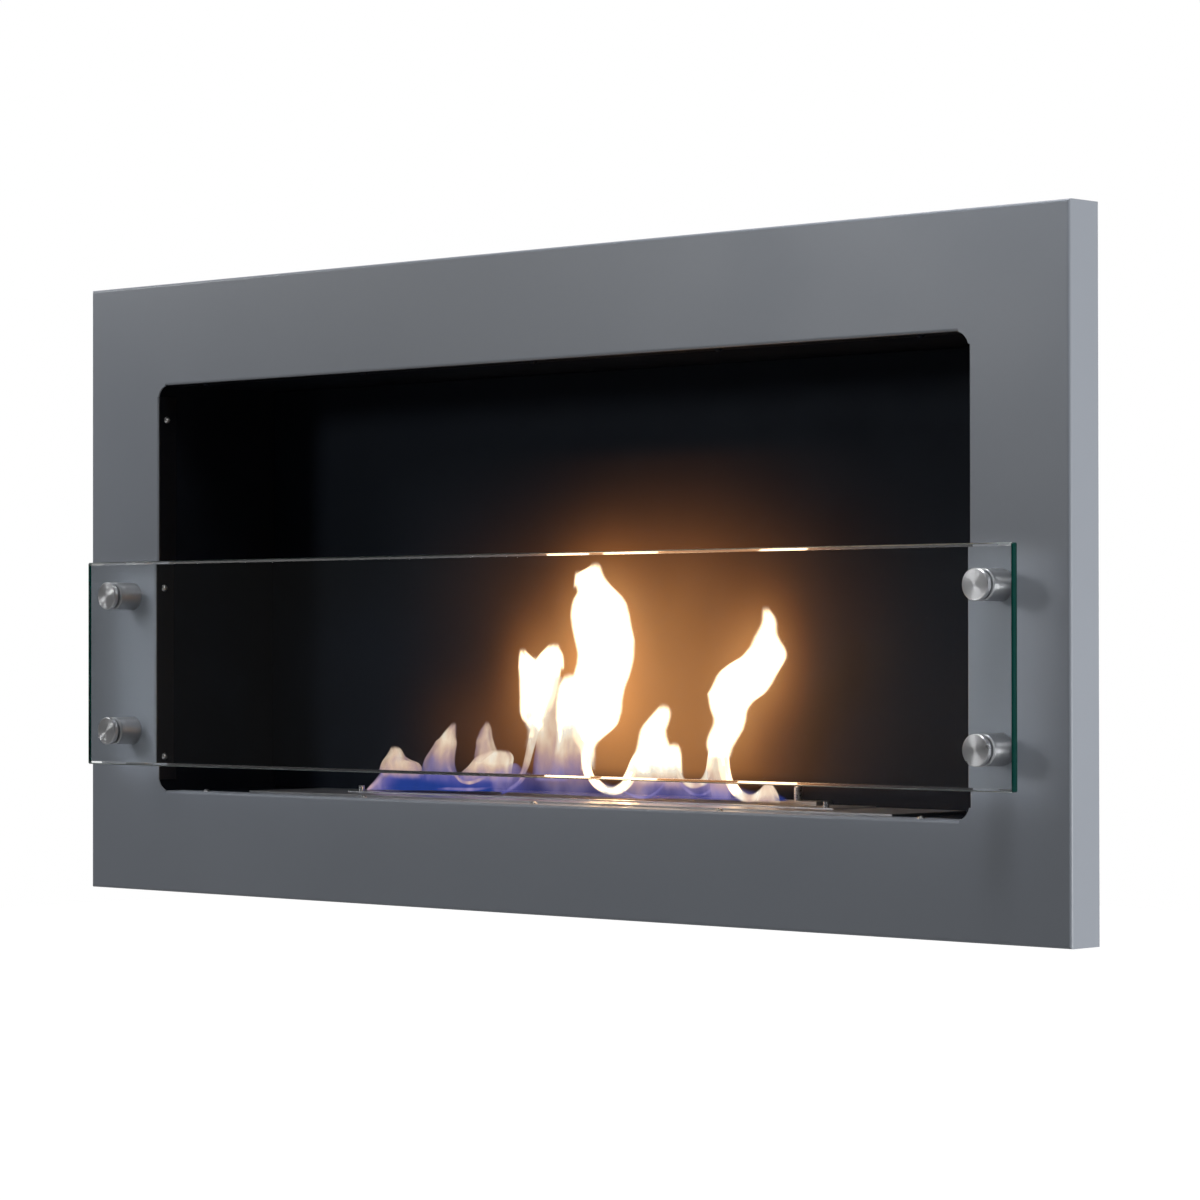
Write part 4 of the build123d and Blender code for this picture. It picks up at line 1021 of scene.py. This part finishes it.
class FIREPLACE_OT_burner(Operator):
    """Finishes the burner's stainless sheet and the sliding lid"""
    bl_idname = "fireplace.burner"
    bl_label = "Burner"

    def execute(self, context):
        metal = context.scene.fireplace.metal
        paint_nodes(brushed_steel("burner_brushed_stainless", metal, (6.0, 1400.0, 1400.0), 0.75),
                    "burner_top_plate", "sliding_lid")
        paint_nodes(brushed_steel("floor_plate_stainless", metal, (6.0, 700.0, 700.0), 1.0), "floor_plate")
        paint_nodes(brushed_steel("burner_tank_stainless", metal, (14.0, 900.0, 900.0)),
                    "burner_tank", "wool_cover")
        return {"FINISHED"}


class FIREPLACE_OT_fasteners(Operator):
    """Finishes the screws, nuts, washers, pins and the lid's handle"""
    bl_idname = "fireplace.fasteners"
    bl_label = "Fasteners"

    def execute(self, context):
        paint_nodes(bright_zinc(context.scene.fireplace.metal), "side_tab_screws", "bottom_tab_screws",
                    "tab_nuts", "lift_pins", "lid_handle", "lid_guide_screws", "lid_guide_washers",
                    "lid_guide_nuts", "standoff_washers", "standoff_screws")
        return {"FINISHED"}


class FIREPLACE_OT_glass(Operator):
    """Finishes the guard glass with its sleeves and gaskets"""
    bl_idname = "fireplace.glass"
    bl_label = "Guard glass"

    def execute(self, context):
        paint_nodes(guard_glass(context.scene.fireplace.glass), "glass_guard")
        paint_nodes(grey_silicone(), "front_gaskets", "rear_gaskets")
        paint_nodes(pale_nylon(), "glass_sleeves")
        return {"FINISHED"}


class FIREPLACE_OT_standoffs(Operator):
    """Finishes the turned standoffs"""
    bl_idname = "fireplace.standoffs"
    bl_label = "Standoffs"

    def execute(self, context):
        paint_nodes(turned_steel(context.scene.fireplace.metal), "standoff_barrels", "standoff_caps")
        return {"FINISHED"}


class FIREPLACE_OT_wool(Operator):
    """Models the ceramic wool that soaks up the spirit"""
    bl_idname = "fireplace.wool"
    bl_label = "Absorbent wool"

    def execute(self, context):
        middle = (wool_low + wool_high) / 2
        select_nothing()
        bpy.ops.mesh.primitive_cube_add(size=1.0, location=middle)
        wool = context.object
        start_shaping(middle, wool_high - wool_low - Vector((1, 1, 1)) * TUFT_ROOM)
        bpy.ops.mesh.bevel(offset=WOOL_EDGE, segments=2, profile=0.5)
        bpy.ops.mesh.select_all(action="SELECT")
        bpy.ops.mesh.subdivide(number_cuts=7)
        for part in range(-8, 9):
            bpy.ops.mesh.select_all(action="SELECT")
            bpy.ops.mesh.bisect(plane_co=(part * WOOL_SLICE, 0.0, 0.0), plane_no=(1.0, 0.0, 0.0))
        stop_shaping()
        round_off(settle(wool, "ceramic_wool_block"), 1)
        tufts = bpy.data.textures.new("wool_tufts", type="CLOUDS")
        tufts.noise_scale = TUFT_SIZE
        bpy.ops.object.modifier_add(type="DISPLACE")
        ruffle = wool.modifiers[-1]
        ruffle.texture = tufts
        ruffle.strength = TUFT_RISE
        ruffle.mid_level = 0.75
        apply_last(wool)
        coat(wool, fibre_wool())
        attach(wool, "burner")
        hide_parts("absorbent_wool")
        return {"FINISHED"}


class FIREPLACE_OT_flames(Operator):
    """Models the flames over the burner's mouth, and hangs them on the burner's body"""
    bl_idname = "fireplace.flames"
    bl_label = "Flames"

    def execute(self, context):
        fire = context.scene.fireplace.fire
        plane = fire.plane_y / MM
        flames = [self.curtain(plane + CURTAIN_SETBACK)]
        for count, (name, tongue) in enumerate(TONGUES.items()):
            flames.append(tongue_of_fire(name, *tongue, plane + TONGUE_STRAY * math.sin(2.3 * count)))
        for count, (name, path) in enumerate(LICKS.items()):
            flames.append(lick_of_fire(name, path, plane - LICK_STRAY * math.sin(1.7 * count)))
        gas = gas_finish(fire)
        for flame in flames:
            coat(flame, gas)
        heart = heart_finish(fire)
        for name, path in HEARTS.items():
            flames.append(lick_of_fire(name, path, plane))
            coat(flames[-1], heart)
        # The painted glow behind the flames, in place of the light that they throw round them.
        flames.append(self.haze(fire))
        for flame in flames:
            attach(flame, "burner")
            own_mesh(flame)
        return {"FINISHED"}

    def haze(self, fire):
        """The sheet of painted glow behind the flames, its corners rounded."""
        select_nothing()
        bpy.ops.mesh.primitive_cube_add(size=1.0, location=HAZE_MIDDLE)
        haze = bpy.context.object
        start_shaping(HAZE_MIDDLE, HAZE_HALF * 2)
        bpy.ops.mesh.select_all(action="DESELECT")
        bpy.ops.object.mode_set(mode="OBJECT")
        for edge in haze.data.edges:
            start, end = (haze.data.vertices[v].co for v in edge.vertices)
            edge.select = abs(start.y - end.y) > 0.5 * HAZE_HALF.y
        bpy.ops.object.mode_set(mode="EDIT")
        bpy.ops.mesh.bevel(offset=HAZE_CORNER, segments=8)
        bpy.ops.object.mode_set(mode="OBJECT")
        coat(haze, painted_glow_finish(fire))
        return settle(haze, "painted_flame_glow")

    def curtain(self, plane):
        """The low curtain of blue gas along the mouth."""
        rings = [(Vector((across, plane, middle)) * MM, (1.0, CURTAIN_DEPTH * MM, half * MM))
                 for across, middle, half, *_ in CURTAIN]
        start, size = rings[0]
        select_nothing()
        bpy.ops.mesh.primitive_circle_add(vertices=8, radius=1.0, fill_type="NGON", location=start,
                                          rotation=(0.0, math.radians(90), 0.0))
        curtain = bpy.context.object
        bpy.ops.object.transform_apply(location=False, rotation=True, scale=False)
        start_shaping(start, size)
        extrude_along(start, size, rings[1:])
        stop_shaping()
        round_off(settle(curtain, "gas_curtain"), 2)

        def gas(point):
            across, height = point.co.x / MM, point.co.z / MM
            middle, half, heat, thick = between(CURTAIN, across)
            rise = (height - middle) / half
            inside = min((1 - rise) * half / CURTAIN_SOFT_TOP, (1 + rise) * half / CURTAIN_SOFT_FOOT)
            return inside, max(heat + 0.10 * rise, 0.0), thick

        record_gas(curtain, gas)
        return curtain


class VIEW3D_PT_fireplace(Panel):
    """Lists the fireplace's pieces and settings"""
    bl_idname = "VIEW3D_PT_fireplace"
    bl_label = "Fireplace"
    bl_space_type = "VIEW_3D"
    bl_region_type = "UI"
    bl_category = "Fireplace"

    def draw(self, context):
        layout = self.layout
        for step in STEPS:
            layout.operator(step.bl_idname)
        settings = context.scene.fireplace
        for group in (settings.paint, settings.metal, settings.glass, settings.fire, settings.studio):
            box = layout.box()
            for name in group.bl_rna.properties.keys():
                if name not in ("rna_type", "name"):
                    box.prop(group, name)


STEPS = (FIREPLACE_OT_stage, FIREPLACE_OT_frame, FIREPLACE_OT_firebox, FIREPLACE_OT_burner,
         FIREPLACE_OT_fasteners, FIREPLACE_OT_glass, FIREPLACE_OT_standoffs, FIREPLACE_OT_wool,
         FIREPLACE_OT_flames)
GROUPS = (FireplacePaint, FireplaceMetal, FireplaceGlass, FireplaceFire, FireplaceStudio, FireplaceSettings)
CLASSES = GROUPS + STEPS + (VIEW3D_PT_fireplace,)


def register():
    for entry in CLASSES:
        bpy.utils.register_class(entry)
    bpy.types.Scene.fireplace = PointerProperty(name="Fireplace", description="Looks of the fireplace",
                                                type=FireplaceSettings)


def unregister():
    del bpy.types.Scene.fireplace
    for entry in reversed(CLASSES):
        bpy.utils.unregister_class(entry)


def main():
    register()
    bpy.ops.fireplace.stage()
    bpy.ops.fireplace.frame()
    bpy.ops.fireplace.firebox()
    bpy.ops.fireplace.burner()
    bpy.ops.fireplace.fasteners()
    bpy.ops.fireplace.glass()
    bpy.ops.fireplace.standoffs()
    bpy.ops.fireplace.wool()
    bpy.ops.fireplace.flames()


if __name__ == "__main__":
    main()
